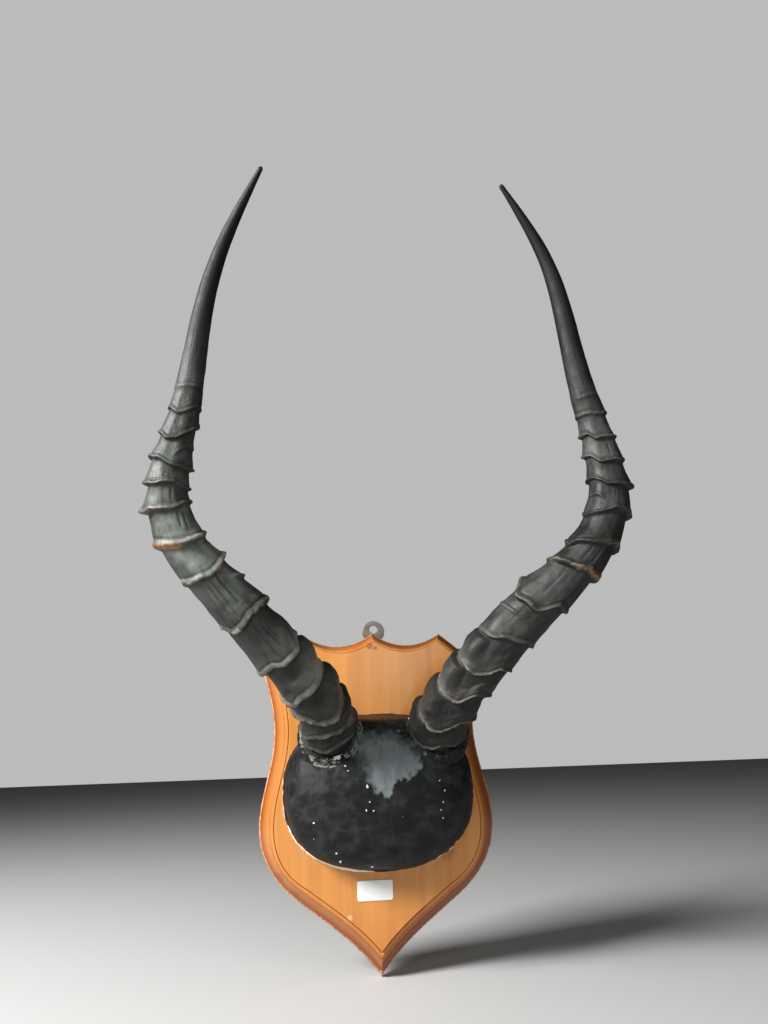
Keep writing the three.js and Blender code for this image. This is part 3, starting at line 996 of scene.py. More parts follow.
@dataclass
class Horn:
    """One horn, grown as one piece, its root buried in the plaster.

    Attributes:
        name: The piece's name, which is its node's too.
        line: Points of its centre line from the root to the tip.
        rings: Its growth rings, root first.
        scars: Its lengthwise splits and furrows.
        taper: (distance from the root, radius) pairs.
        inner: 1 if its inner side, towards the other horn, is the viewer's left one, else -1.
        seed: Picks its small irregularities.
        columns: How many points lie round it.
        pitch: Mean distance between its rows of points in the ringed part.
        smooth_pitch: The same beyond the last ring.
        nearest: Least distance between two rings.
        cup: How fast a segment narrows behind its lip.
        dent: Depth of the hollows in front, between the lips near the root.
        lobe: How far the segments near the root bulge towards the other horn.
        striation: Depth of the fine furrows along it.
        shade: (distance from the root, lightness) pairs of its skin: its own tone with painted light and
            shade, lighter where the key light falls and darker where it falls off.
        low_end: Between which distances the coarse rings near the root give way to finer ones.
        fade: Length over which the last whole ring's flare dies out.
        part_fade: The same for each part ring.
        close_past: How far past the last lip the rows of points stay close.
        crowding: How much closer than the mean the rows are at a lip, as a share.
    """

    name: str
    line: tuple[Point3, ...]
    rings: tuple[Ring, ...]
    scars: tuple[Scar, ...]
    taper: tuple[Point2, ...]
    shade: tuple[Point2, ...]
    inner: int
    seed: int
    columns: int = 144
    pitch: float = 0.78
    smooth_pitch: float = 1.35
    nearest: float = 7.7
    cup: float = 1.9
    dent: float = 3.0
    lobe: float = 5.2
    striation: float = 0.17
    low_end: Point2 = (105.0, 160.0)
    fade: float = 26.0
    part_fade: float = 20.0
    close_past: float = 12.0
    crowding: float = 0.72

    def lowness(self, distance: Array) -> Array:
        """Return 1 among the coarse rings near the root and 0 beyond them."""
        return 1 - ease(*self.low_end, distance)

    def radius(self, distance: Array) -> Array:
        """Return the horn's radius between its rings, eased through the taper's points."""
        at, size = np.array(self.taper, float).T
        nearby = (-12.0, -6.0, 0.0, 6.0, 12.0)
        return np.mean([np.interp(distance + by, at, size) for by in nearby], axis=0)

    def lips(self, degrees: Array) -> Array:
        """Return the whole rings' lips, a row for each ring, a little ragged and in order."""
        rows = []
        around = np.radians(degrees)
        for number, ring in enumerate(r for r in self.rings if r.arc is None):
            place = np.stack([np.cos(around), np.sin(around), np.full_like(around, 3.0 * number)], -1)
            ragged = 0.9 * Grain(0.42, self.seed + 5, 2).at(place)
            row = ring.lip(degrees) + ragged
            rows.append(row if not rows else np.maximum(row, rows[-1] + self.nearest))
        return np.array(rows)

    def rows(self, lips: Array, length: float) -> Array:
        """Return how far from the root each point of the grid lies.

        Rows follow the lips, so that each lip has a row of its own, and they are closest there.

        Args:
            lips: The whole rings' lips, a row for each ring.
            length: The horn's length.

        Returns:
            Distances of shape (rows, columns).
        """
        tip_start = np.full(self.columns, length - self.taper[-1][1])
        stops = [np.zeros(self.columns), *lips, lips[-1] + self.close_past]
        parts = []
        for start, end in zip(stops, stops[1:]):
            count = max(8, round(float((end - start).mean()) / self.pitch))
            share = np.arange(count) / count
            share -= self.crowding * np.sin(2 * math.pi * share) / (2 * math.pi)
            parts.append(start + share[:, None] * (end - start))
        count = round(float((tip_start - stops[-1]).mean()) / self.smooth_pitch)
        share = np.linspace(0, 1, count)
        parts.append(stops[-1] + share[:, None] * (tip_start - stops[-1]))
        return np.concatenate(parts)

    def skin(self, degrees: Array, distance: Array) -> Skin:
        """Return the skin's points.

        Args:
            degrees: Where the points of a row lie round the horn.
            distance: How far from the root each point lies.

        Returns:
            The skin.
        """
        around = np.broadcast_to(degrees, distance.shape)
        turn, radius = np.radians(around), self.radius(distance)
        local = np.stack([radius * np.cos(turn), radius * np.sin(turn), distance], axis=-1)
        return Skin(around, distance, radius, local.reshape(-1, 3), self.lowness(distance))

    def build(self) -> bpy.types.Object:
        """Return the horn's mesh, with the channels that its finish reads."""
        path = Path(self.line)
        degrees = np.linspace(-180, 180, self.columns, endpoint=False)
        lips = self.lips(degrees)
        skin = self.skin(degrees, self.rows(lips, path.length))
        rings, rough = self.ring_relief(skin, lips), self.surface_relief(skin)
        size = skin.radius + rings["height"] + rough["height"]
        place, _, front, side = path.frames(skin.distance)
        turn = np.radians(skin.around)[..., None]
        grid = place + size[..., None] * (np.cos(turn) * front + np.sin(turn) * side)
        grid, extra = self.close_tip(path, grid, degrees)
        piece = make_piece(self.name, *tube(grid))
        self.mark_channels(piece, path.length, skin, {**rings, **rough}, extra)
        return piece

    def ring_relief(self, skin: Skin, lips: Array) -> dict[str, Array]:
        """Return what the rings add: their height, lips and wear, painted light on their lobes and
        painted shade in their crevices.

        Args:
            skin: The skin's points.
            lips: The whole rings' lips, a row for each ring.

        Returns:
            A value for each point, by channel name, and the height.
        """
        height, marks = np.zeros_like(skin.distance), {}
        whole = [ring for ring in self.rings if ring.arc is None]
        ends = np.vstack([lips[1:], lips[-1] + self.fade])
        spans = list(zip(whole, lips, ends))
        for ring in self.rings:
            if ring.arc is not None:
                lip = ring.lip(skin.around[0])
                spans.append((ring, lip, lip + self.part_fade))
        for ring, lip, end in spans:
            away = skin.distance - lip
            share = np.clip(away / (end - lip), 0, 1)
            added, wear = self.one_ring(ring, skin, away, share)
            if ring.arc is None:
                height += added
            else:
                height = np.maximum(height, height * 0.35 + added)
            for name, values in wear.items():
                marks[name] = np.maximum(marks.get(name, 0.0), values)
        return {"height": height, **marks}

    def one_ring(
        self, ring: Ring, skin: Skin, away: Array, share: Array
    ) -> tuple[Array, dict[str, Array]]:
        """Return how far one ring stands out, and what it marks.

        Args:
            ring: The ring.
            skin: The skin's points.
            away: Distance from the ring's lip, negative on its root side.
            share: Share of the way from its lip to the next one.

        Returns:
            The added height, then by name: the lip, the painted light on the lobes, the pale and tan
                wear, and the painted shade under the lips and in the hollows.
        """
        around, low = skin.around, skin.low
        inside = low * self.inner_side(around)
        outer = low * ease(-10.0, 40.0, -self.inner * around)
        there = ring.presence(around)
        risen = ease(-ring.under, 0.0, away)
        cup = ring.reach(around) * (1 - share) ** self.cup
        lobe = 0.35 * (1 - share) + ease(0.05, 0.6, share) * (1 - ease(0.8, 0.99, share))
        rolled = hump(away - 0.4 * ring.roll, ring.roll)
        bead = ring.bead * rolled * ease(-ring.under, -0.3, away) * (1 - 0.6 * inside)
        fold = hump(away - 1.9 * ring.roll, 0.38 * ring.roll) * (1 - inside)
        middle = ease(0.35, 0.7, share) * (share < 1) * low * self.front_side(around)
        flare = risen * (cup + inside * (self.lobe * lobe - cup))
        added = there * self.swell(around, ring) * (flare + bead)
        added -= there * (ring.crease * fold + self.dent * middle)
        orange = ring.tan_share(around)
        worn = hump(away - 0.4 * ring.roll - 1.8 * orange, ring.roll * (1 - 0.5 * orange))
        bared = hump(away + 0.22 * ring.under, 0.72 * ring.under)
        # Painted light: each coarse lobe near the root is lightened towards its lip, leaving the hollow
        # behind it dark.
        painted_lobe_light = (away > -ring.under) * (1 - share) ** 1.8 * low * (0.6 + 0.4 * inside)
        # Painted shade under each lip, in the fold behind its bead and in the hollows in front.
        shaded = (0.45 + 0.55 * low) * hump(away + ring.under + 0.6, 1.7 + 1.8 * low) + 0.7 * fold
        shaded = np.maximum(shaded, 0.9 * middle) * (1 - 0.4 * inside)
        return added, {
            # On the outer side of the coarse rings near the root the rubbed lips are mostly left out:
            # painted shade on that side.
            "lip": rolled * there * (1 - 0.8 * outer),
            "painted_lobe_light": painted_lobe_light * (ring.arc is None),
            "pale": worn * there * ring.pale,
            "tan": bared * orange,
            "painted_crevice_shade": shaded * there,
        }

    def inner_side(self, around: Array) -> Array:
        """Return 1 on the side that faces the other horn, with soft ends."""
        turn = self.inner * around
        return ease(32.0, 66.0, turn) * (1 - ease(120.0, 155.0, turn))

    def front_side(self, around: Array) -> Array:
        """Return 1 in front and a little to the inner side, with soft ends."""
        return hump(self.inner * around - 12.0, 42.0)

    def swell(self, around: Array, ring: Ring) -> Array:
        """Return how a ring's height varies round the horn."""
        turn = np.radians(around)
        level = np.full_like(turn, ring.crest[0][1] * 0.37)
        place = np.stack([np.cos(turn), np.sin(turn), level], axis=-1).reshape(-1, 3)
        return 1.0 + 0.30 * Grain(0.7, self.seed + 9, 2).at(place).reshape(turn.shape)

    def surface_relief(self, skin: Skin) -> dict[str, Array]:
        """Return lumps, lengthwise ridges, furrows and the rough skin near the root.

        Args:
            skin: The skin's points.

        Returns:
            The height and the groove channel at each point.
        """
        distance, local, shape = skin.distance, skin.local, skin.distance.shape
        ringed = 1 - ease(350.0, 420.0, distance)
        lumps = 0.55 * Grain(17.0, self.seed, 3).at(local).reshape(shape)
        long_ridges = 0.55 * Grain(8.5, self.seed + 1, 2).at(local * (1, 1, 0.09)).reshape(shape)
        fibres = Grain(2.9, self.seed + 2, 2).at(local * (1, 1, 0.055)).reshape(shape)
        patchy = ease(-0.25, 0.45, Grain(26.0, self.seed + 3, 2).at(local).reshape(shape))
        furrow = hump(fibres, 0.17) * (0.25 + 0.75 * patchy)
        cuts = np.zeros(shape)
        depth = self.striation * furrow * (0.35 + 0.65 * ringed)
        for scar in self.scars:
            share = scar.cut(skin.around, distance, skin.radius)
            cuts = np.maximum(cuts, share)
            depth = depth + scar.depth * share
        root = 1 - ease(60.0, 130.0, distance)
        crumbly = 0.6 * root * Grain(4.2, self.seed + 4, 3).at(local).reshape(shape)
        keep = 0.35 + 0.65 * ringed
        slim = np.minimum(skin.radius / 10.0, 1.0)
        height = slim * (keep * (lumps + long_ridges) + crumbly - depth)
        groove = np.clip(0.55 * furrow * patchy * keep + cuts, 0, 1)
        return {"height": height, "groove": groove}

    def close_tip(self, path: Path, grid: Array, degrees: Array) -> tuple[Array, int]:
        """Return the grid with a rounded end, and how many rows that added.

        Args:
            path: The horn's centre line.
            grid: Rows of points from the root to just short of the tip.
            degrees: Where the points of a row lie round the horn.

        Returns:
            The longer grid and the number of its new rows.
        """
        reach = self.taper[-1][1]
        turn = np.radians(degrees)[:, None]
        added = []
        for step in (0.35, 0.6, 0.8, 0.93):
            distance = np.full(len(degrees), path.length - reach * (1 - step))
            place, _, front, side = path.frames(distance)
            size = reach * math.sqrt(1 - step * step)
            added.append(place + size * (np.cos(turn) * front + np.sin(turn) * side))
        return np.concatenate([grid, np.array(added)]), len(added)

    def mark_channels(
        self, piece: bpy.types.Object, length: float, skin: Skin, relief: dict[str, Array], extra: int
    ) -> None:
        """Store the relief's channels on the mesh.

        Args:
            piece: The horn.
            length: The horn's length.
            skin: The skin's points.
            relief: A value for each of them, by channel name.
            extra: How many rows the rounded end added.
        """
        tail = extra * self.columns + 2
        for channel in (Channel.LIP, Channel.PALE, Channel.TAN, Channel.CREVICE, Channel.GROOVE):
            values = relief[channel.value].ravel()
            mark(piece, channel, np.concatenate([values, np.zeros(tail)]))
        walked = np.concatenate([skin.distance.ravel(), np.full(tail, length)])
        mark(piece, Channel.ALONG, walked / length)
        # Painted light and shade: the shade table lightens and darkens the skin along the horn, and the
        # coarse rings near the root are darkened.
        at, light = np.array(self.shade, float).T
        # Painted light on the coarse lobes near the root.
        painted_lobe_light = np.concatenate([relief["painted_lobe_light"].ravel(), np.zeros(tail)])
        # Painted shade: sides that face down are darkened, as if in the shadow of a light from above.
        below = ease(0.05, 0.6, -normals_of(piece)[:, 2])
        shade = np.interp(walked, at, light) * (1 - 0.5 * self.lowness(walked) + 3.4 * painted_lobe_light)
        mark(piece, Channel.SHADE, shade * (1 - 0.75 * below))
        places = np.concatenate([skin.local, np.tile(skin.local[-1], (tail, 1))])
        mark(piece, Channel.FIBRE, places)


LEFT_HORN = Horn(
    name="horn_left",
    line=(
        (-44, -41, 50), (-45, -65, 62), (-50, -84, 76), (-62, -104, 93), (-82, -123, 115),
        (-107, -141, 142), (-133, -155, 169), (-158, -165, 199), (-172, -174, 235), (-169, -181, 273),
        (-160, -187, 311), (-152, -195, 361), (-143, -204, 409), (-127, -216, 455), (-97, -238, 508),
    ),
    taper=(
        (0, 22.8), (30, 21.8), (52, 20.2), (80, 19.1), (156, 19.1), (196, 18.2), (237, 17.3),
        (275, 15.8), (305, 14.9), (325, 13.0), (353, 11.9), (405, 9.5), (455, 7.8), (505, 5.7),
        (545, 3.5), (571, 1.7),
    ),
    # Painted light and shade with the skin's own tone: lightest where the key light falls on the middle.
    shade=(
        (0, 0.2), (60, 0.35), (110, 1.15), (160, 0.42), (200, 1.4), (245, 1.7), (272, 0.95),
        (295, 0.72), (330, 0.46), (365, 0.45), (395, 0.32), (440, 0.1), (490, 0.02), (571, 0.06),
    ),
    inner=-1,
    rings=(
        Ring(((-96, 27), (-72, 24), (-28, 28), (8, 22), (38, 20), (72, 14)), 1.8, 0.3, roll=1.6),
        Ring(((-84, 39), (-50, 39), (-8, 42), (18, 40), (68, 27)), 2.6, 0.6, roll=2.2),
        Ring(((-84, 61), (-62, 57), (-26, 55), (-2, 57), (22, 64), (60, 70)), 4.2, 0.7, bead=1.4,
             roll=2.8),
        Ring(((-84, 92), (-60, 89), (-20, 87), (6, 88), (30, 82), (60, 86)), 4.2, 0.7, bead=1.4,
             roll=2.8),
        Ring(((-80, 125), (-68, 119), (-6, 118), (0, 124), (52, 119)), 3.8, 0.6, roll=2.6),
        Ring(((-100, 162), (-30, 166), (4, 163), (32, 163), (50, 170)), 3.4, 1.1, (-1.6, 1.0),
             bead=1.2, roll=2.6, under=3.2),
        Ring(((-92, 214), (-38, 208), (-2, 210), (22, 212), (40, 215)), 3.0, 0.9, (-2.2, 1.8),
             (-56, -30, 0.8), bead=1.2, roll=2.4, under=3.2),
        Ring(((-56, 238), (-10, 240), (22, 244), (68, 249)), 2.6, 0.8, (0.2, -0.8), (-4, 92, 1.0),
             bead=1.5, roll=2.4, under=5.0),
        Ring(((-60, 274), (-26, 270), (2, 271), (42, 273), (76, 273)), 2.9, 0.7, (2.0, -1.6),
             (36, 92, 0.5), roll=1.8, under=3.4),
        Ring(((-66, 287), (-32, 291), (-2, 291), (40, 290), (76, 291)), 2.9, 0.3, (4.0, -0.6)),
        Ring(((-68, 305), (-14, 305), (-4, 306), (20, 309), (70, 311)), 2.5, 0.3, (0.8, 0.4)),
        Ring(((-88, 344), (-32, 334), (-8, 327), (14, 326), (46, 329)), 2.3, 0.25, (0.6, 0.4)),
        Ring(((-50, 357), (4, 348), (40, 351)), 1.2, 0.2, bead=0.4),
        Ring(((4, 96), (22, 104), (34, 98)), 1.2, 0.3, arc=(6, 44), bead=0.4),
        Ring(((-100, 189), (-60, 196)), 2.8, 0.3, arc=(-120, -62)),
        Ring(((-70, 324), (-46, 324), (-24, 317), (-6, 312)), 1.6, 0.4, arc=(-96, -14), bead=0.5),
        Ring(((-60, 373), (30, 371)), 0.6, 0.15, arc=(-60, 80), bead=0.2),
    ),
    scars=(
        Scar((12, 6), (172, 206), 2.2, 0.9), Scar((-4, -8), (168, 208), 1.8, 0.8),
        Scar((-26, -28), (176, 208), 2.4, 1.0), Scar((26, 24), (172, 198), 1.6, 0.6),
        Scar((6, 2), (128, 160), 2.0, 0.8), Scar((-14, -18), (126, 162), 1.8, 0.8),
        Scar((-34, -32), (130, 158), 2.0, 0.7), Scar((-24, -30), (252, 268), 2.0, 0.8),
        Scar((-40, -44), (250, 266), 1.8, 0.7), Scar((-18, -20), (277, 288), 1.6, 0.5),
    ),
    seed=100,
)

RIGHT_HORN = Horn(
    name="horn_right",
    line=(
        (54, -41, 50), (55, -65, 62), (60, -84, 75), (72, -104, 92), (91, -123, 114),
        (116, -140, 140), (144, -154, 165), (173, -165, 194), (190, -173, 229), (189, -180, 265),
        (179, -187, 304), (168, -194, 353), (158, -204, 401), (142, -216, 446), (104, -239, 496),
    ),
    taper=(
        (0, 22.8), (30, 22.2), (52, 21.2), (80, 19.8), (115, 20.0), (156, 20.3), (196, 19.4),
        (237, 17.3), (275, 16.8), (306, 15.4), (330, 13.2), (353, 11.7), (405, 9.8), (455, 7.8),
        (505, 5.6), (545, 3.4), (571, 1.7),
    ),
    # Painted light and shade with the skin's own tone: darker than the left horn, further from the key
    # light.
    shade=(
        (0, 0.2), (75, 0.28), (125, 0.16), (165, 0.44), (215, 0.38), (242, 0.1), (272, 0.22),
        (297, 0.18), (320, 0.62), (365, 0.22), (415, 0.07), (571, 0.02),
    ),
    inner=1,
    rings=(
        Ring(((-40, 26), (2, 26), (16, 22), (44, 17), (78, 14)), 2.4, 0.6),
        Ring(((-40, 58), (-10, 54), (4, 47), (16, 40), (58, 39), (90, 40)), 2.8, 0.75),
        Ring(((-30, 88), (2, 86), (12, 76), (22, 73), (44, 71), (78, 71)), 3.2, 0.8, (-0.4, -0.4)),
        Ring(((-30, 118), (-6, 115), (2, 107), (22, 101), (54, 100), (86, 99)), 3.2, 0.8, (1.0, -1.8)),
        Ring(((-30, 148), (10, 141), (28, 139), (40, 132), (110, 127)), 2.8, 0.35, bead=0.6, roll=2.0),
        Ring(((-12, 187), (2, 178), (12, 170), (38, 170), (68, 167), (110, 178)), 3.2, 0.6, (1.4, -2.4),
             bead=1.1, roll=2.4),
        Ring(((-58, 222), (-10, 222), (20, 216), (52, 212), (108, 206)), 3.0, 0.8, (0, 0.4),
             (-66, 20, 0.6), bead=1.2, roll=2.4, under=4.2),
        Ring(((-38, 251), (2, 243), (36, 239), (58, 232), (70, 227)), 2.6, 0.3, (0, 0.6),
             (-64, -6, 0.5), roll=2.0, under=3.6),
        Ring(((-68, 273), (-28, 276), (0, 274), (32, 269), (56, 265), (78, 262)), 2.9, 0.2,
             (-2.0, 1.0), (-84, -30, 0.4), bead=0.7, under=3.8),
        Ring(((-68, 291), (-28, 294), (24, 294), (40, 299), (62, 302), (86, 301)), 2.8, 0.25,
             (-0.8, 0.9)),
        Ring(((-44, 312), (-10, 314), (32, 315), (58, 323), (110, 323)), 2.3, 0.25, (-0.4, 0.2)),
        Ring(((-44, 332), (-18, 334), (26, 335), (50, 341), (102, 341)), 2.0, 0.2, (-0.2, -0.6)),
        Ring(((-26, 354), (14, 356), (70, 358)), 1.0, 0.15, (0, 1.0), bead=0.3),
        Ring(((10, 141), (38, 136)), 1.6, 0.8, arc=(8, 40), bead=1.2),
        Ring(((48, 157), (76, 155), (110, 153)), 2.0, 0.3, arc=(42, 110), bead=0.6),
        Ring(((26, 278), (48, 286), (78, 284)), 1.6, 0.3, arc=(30, 92), bead=0.5),
        Ring(((34, 371), (-14, 372)), 0.6, 0.15, arc=(-40, 60), bead=0.2),
    ),
    scars=(
        Scar((-14, -30), (186, 214), 2.6, 1.3), Scar((-4, -12), (226, 244), 1.8, 0.7),
        Scar((20, 14), (222, 238), 2.0, 0.6), Scar((34, 30), (182, 208), 2.0, 0.5),
        Scar((6, 0), (278, 290), 1.8, 0.5), Scar((-2, -6), (318, 330), 1.6, 0.5),
    ),
    seed=300,
)


# ---- The skull cap ----


@dataclass
class SkullCap:
    """The plaster dome with a collar of filler round each horn's root.

    Attributes:
        centre: The middle of its outline, as (x, z).
        half_width: From the middle to its left and right ends.
        reach_up: From the middle to its top edge.
        reach_down: From the middle to its lowest edge.
        height: How far it stands out from the shield.
        slope_up: How much lower it is at its top edge, as a share of its height.
        outline_power: How square its outline is.
        crown_power: How flat its crown is.
        top_wall_power: How steep its wall is along the top.
        foot_wall_power: The same along the foot.
        voxel: Size of the surface's cells.
        patch: Corners of the patch of painted reflection and bloom, as (x, z).
        chips: White chips in the paint, as (x, z, radius).
        rim: How high the bare rim of its foot is, at angles round it in degrees.
        spread: How far its foot spreads past its wall.
        spill: Middle of the bare patch beside the first horn, as (x, z).
        collar_profile: (distance from the horn's axis, rise) points of a collar.
    """

    centre: Point2 = (1.0, 5.0)
    half_width: float = 86.0
    reach_up: float = 66.0
    reach_down: float = 67.5
    height: float = 50.0
    slope_up: float = 0.2
    outline_power: float = 2.4
    crown_power: float = 2.6
    top_wall_power: float = 3.4
    foot_wall_power: float = 2.4
    voxel: float = 1.0
    patch: tuple[Point2, ...] = (
        (-30, 54), (-24, 33), (-15, 24), (-9, 9), (2, 2), (11, 5), (10, 11), (25, 15), (38, 26),
        (36, 34), (30, 46), (16, 56), (-8, 58),
    )
    chips: tuple[Point3, ...] = (
        (-12.4, 10.7, 2.0), (-10.8, -2.7, 1.0), (-13.7, -9.0, 1.3), (-7.1, -9.2, 1.2), (51.4, 12.5, 1.0),
        (55.4, 4.2, 0.9), (53.8, -5.2, 1.2), (51.8, -11.4, 1.1), (53.5, -18.1, 1.2),
        (-58.7, -18.4, 1.0), (-39.4, -43.5, 1.0), (-35.9, -50.7, 1.4), (-8.5, -57.0, 1.2),
        (16.8, -15.0, 0.8), (-59.0, -31.6, 0.8), (-30.9, 27.7, 0.9), (-28.3, 23.6, 0.8),
        (-18.3, 68.0, 1.3), (29.4, 66.6, 1.2),
    )
    rim: tuple[Point2, ...] = (
        (-180, 2.2), (-165, 2.4), (-150, 4.0), (-112, 5.4), (-100, 3.2), (-88, 1.6), (-70, 2.4),
        (-35, 2.8), (-15, 0.4), (0, 0.0), (140, 0.0), (160, 1.6), (180, 2.2),
    )
    spread: float = 2.0
    spill: Point2 = (-38.0, 37.5)
    collar_profile: tuple[Point2, ...] = (
        (17, 0), (29.5, 0), (29.3, 6), (28.6, 10), (27.4, 13.4), (25.8, 15.8), (24.4, 17), (17, 17),
    )

    def surface(self, share: Array, angle: Array) -> Array:
        """Return points of the dome.

        Args:
            share: Share of the way from its middle to its outline.
            angle: Direction from its middle, in radians.

        Returns:
            Points of the same shape as share, with three numbers each.
        """
        cos, sin = np.cos(angle), np.sin(angle)
        reach = np.where(sin > 0, self.reach_up, self.reach_down)
        bend = 2 / self.outline_power
        x = self.centre[0] + share * self.half_width * np.sign(cos) * np.abs(cos) ** bend
        z = self.centre[1] + share * reach * np.sign(sin) * np.abs(sin) ** bend
        wall = self.foot_wall_power + (self.top_wall_power - self.foot_wall_power) * (sin + 1) / 2
        crown = (1 - share**self.crown_power) ** (1 / wall)
        slope = 1 - self.slope_up * np.maximum(0, (z - self.centre[1]) / self.reach_up)
        return np.stack([x, FACE_DEPTH - GAP - self.height * crown * slope, z], axis=-1)

    def dome(self) -> bpy.types.Object:
        """Return the plain dome."""
        shares = np.sin(np.linspace(0.02, 1, 60) * math.pi / 2)[::-1]
        angles = np.linspace(0, 2 * math.pi, 160, endpoint=False)
        share, angle = np.meshgrid(shares, angles, indexing="ij")
        return make_piece("dome", *tube(self.surface(share, angle)))

    def collar(self, horn: Horn) -> bpy.types.Object:
        """Return the plain collar about a horn's root."""
        place, along, front, side = Path(horn.line).frames(np.zeros(1))
        turn = np.linspace(0, 2 * math.pi, 90, endpoint=False)[:, None]
        spoke = np.cos(turn) * front + np.sin(turn) * side
        rows = [place + radius * spoke + rise * along for radius, rise in self.collar_profile]
        return make_piece("collar", *tube(np.array(rows)))

    def build(self, horns: Sequence[Horn]) -> bpy.types.Object:
        """Return the skull cap, worked as by hand, with its channels.

        Args:
            horns: The horns that stand in it.

        Returns:
            The finished mesh.
        """
        piece = self.dome()
        piece.name = "skull_cap"
        for horn in horns:
            collar = self.collar(horn)
            union = piece.modifiers.new("union", "BOOLEAN")
            union.operation = "UNION"
            union.solver = "EXACT"
            union.object = collar
            settle(piece)
            bpy.data.objects.remove(collar)
        remesh = piece.modifiers.new("remesh", "REMESH")
        remesh.mode = "VOXEL"
        remesh.voxel_size = self.voxel * MM
        soften = piece.modifiers.new("soften", "SMOOTH")
        soften.factor = 0.5
        soften.iterations = 6
        settle(piece)
        face_outward(piece)
        collars = [self.near_collar(places_of(piece), horn) for horn in horns]
        self.work(piece, collars)
        self.mark_channels(piece, horns)
        return piece

    @staticmethod
    def near_collar(points: Array, horn: Horn) -> tuple[Array, Array]:
        """Return each point's distance from a horn's axis and along it from the root."""
        place, along, _, _ = Path(horn.line).frames(np.zeros(1))
        from_root = points - place[0]
        rise = from_root @ along[0]
        return np.linalg.norm(from_root - rise[:, None] * along[0], axis=1), rise

    def work(self, piece: bpy.types.Object, collars: Sequence[tuple[Array, Array]]) -> None:
        """Work the plaster's surface: lumps, brushed ridges, and the crumbled collars."""
        points, normals = places_of(piece), normals_of(piece)
        standing = FACE_DEPTH - points[:, 1]
        free = ease(1.0, 8.0, standing)
        lumps = 0.9 * Grain(30.0, 11, 2).at(points) + 0.22 * Grain(9.0, 12, 2).at(points)
        ridges = 0.5 * Grain(6.0, 13, 2).at(points * (1, 0.2, 0.16))
        left = ease(30.0, 55.0, -points[:, 0])
        rough_top = ease(30.0, 52.0, points[:, 2]) * (1 - ease(24.0, 40.0, np.abs(points[:, 0] - 5)))
        brushed = 0.55 * Grain(3.6, 14, 3).at(points * (1, 0.5, 0.45)) * rough_top
        height = free * (lumps + ridges * (0.15 + 0.25 * left) + brushed)
        for radius, rise in collars:
            near = hump(radius - 27.0, 4.5) * ease(2.0, 8.0, rise)
            shelves = 0.55 * np.sin(rise * 1.55 + 2.2 * Grain(14.0, 15, 1).at(points))
            height += near * (shelves + 0.9 * Grain(4.2, 16, 3).at(points))
        foot = (1 - free) * 0.35 * Grain(3.0, 17, 2).at(points)
        inward = np.minimum(height, 1.2) + foot
        out, share = self.outward(points)
        splay = self.spread * share**8 * (1 - ease(1.5, 3.6, standing + 0.5 * Grain(9.0, 18).at(points)))
        move_places(piece, points + normals * inward[:, None] + out * splay[:, None])

    def outward(self, points: Array) -> tuple[Array, Array]:
        """Return the directions away from the dome's middle, and the shares of its outline."""
        out = (points - (self.centre[0], 0, self.centre[1])) * (1, 0, 1)
        reach = np.where(out[:, 2] > 0, self.reach_up, self.reach_down)
        flat = np.abs(out[:, 0] / self.half_width) ** self.outline_power
        share = (flat + np.abs(out[:, 2] / reach) ** self.outline_power) ** (1 / self.outline_power)
        return out / np.maximum(np.linalg.norm(out, axis=1), 1.0)[:, None], np.minimum(share, 1.0)

    def mark_channels(self, piece: bpy.types.Object, horns: Sequence[Horn]) -> None:
        """Store where paint is missing or crusted, and the patch of painted reflection and bloom."""
        points = places_of(piece)
        x, standing, z = points[:, 0], FACE_DEPTH - points[:, 1], points[:, 2]
        wander = Grain(5.0, 21, 3).at(points)
        fine = Grain(1.8, 22, 2).at(points)
        angle, limit = np.array(self.rim, float).T
        limit = np.interp(np.degrees(np.arctan2(z - self.centre[1], x - self.centre[0])), angle, limit)
        bare = (1 - ease(0.7, 1.1, (standing + 0.5 * wander) / np.maximum(limit, 0.01))) * (limit > 0.1)
        for cx, cz, radius in self.chips:
            away = np.hypot(x - cx, z - cz) / np.clip(1.0 + 0.7 * fine, 0.4, 1.6)
            bare = np.maximum(bare, (1 - ease(0.4 * radius, radius, away)) * (standing > 8))
        crust = np.zeros(len(points))
        for number, horn in enumerate(horns):
            radius, rise = self.near_collar(points, horn)
            ring = hump(radius - 26.5, 3.4) * ease(5.0, 9.0, rise)
            lines = hump(radius - 29.4 - wander, 0.9) + 0.8 * hump(radius - 26.4 - 1.6 * fine, 0.8)
            lines *= ease(3.0, 6.0, rise) * ease(-0.25, 0.35, Grain(16.0, 24, 2).at(points))
            strength = 1.0 - 0.35 * number
            crust = np.maximum(crust, strength * np.maximum(0.45 * ring * (1 + wander), lines))
            if number == 0:
                away = np.hypot(x - self.spill[0], z - self.spill[1])
                away /= np.clip(1.0 + 0.6 * fine, 0.4, 1.6)
                bare = np.maximum(bare, (1 - ease(3.0, 7.5, away)) * ring)
        bend = 3.2 * np.stack([wander, Grain(5.0, 23, 3).at(points)], axis=-1)
        inside = self.inside_patch(np.stack([x, z], axis=-1) + bend)
        front = ease(20.0, 32.0, standing)
        between = hump(z - 49.0, 11.0) * (1 - ease(20.0, 34.0, np.abs(x - 2.0)))
        veins = hump(Grain(6.0, 25, 3).at(points * (1, 0.5, 0.3)), 0.06)
        crust = np.maximum(crust, veins * between)
        # The patch of painted reflection fades softly at its top left and ends sharply at its lower
        # right.
        soft = 1.0 + 13.0 * ease(0.0, 45.0, z - 0.5 * x)
        mark(piece, Channel.BARE, bare)
        mark(piece, Channel.CRUST, crust)
        mark(piece, Channel.SHEEN, np.clip((inside + 1.2) / (soft + 1.2), 0, 1) * front)
        top = ease(65.5, 67.0, z + 0.5 * fine) * (np.abs(x - 5.0) < 27.0)
        mark(piece, Channel.BONE, top)

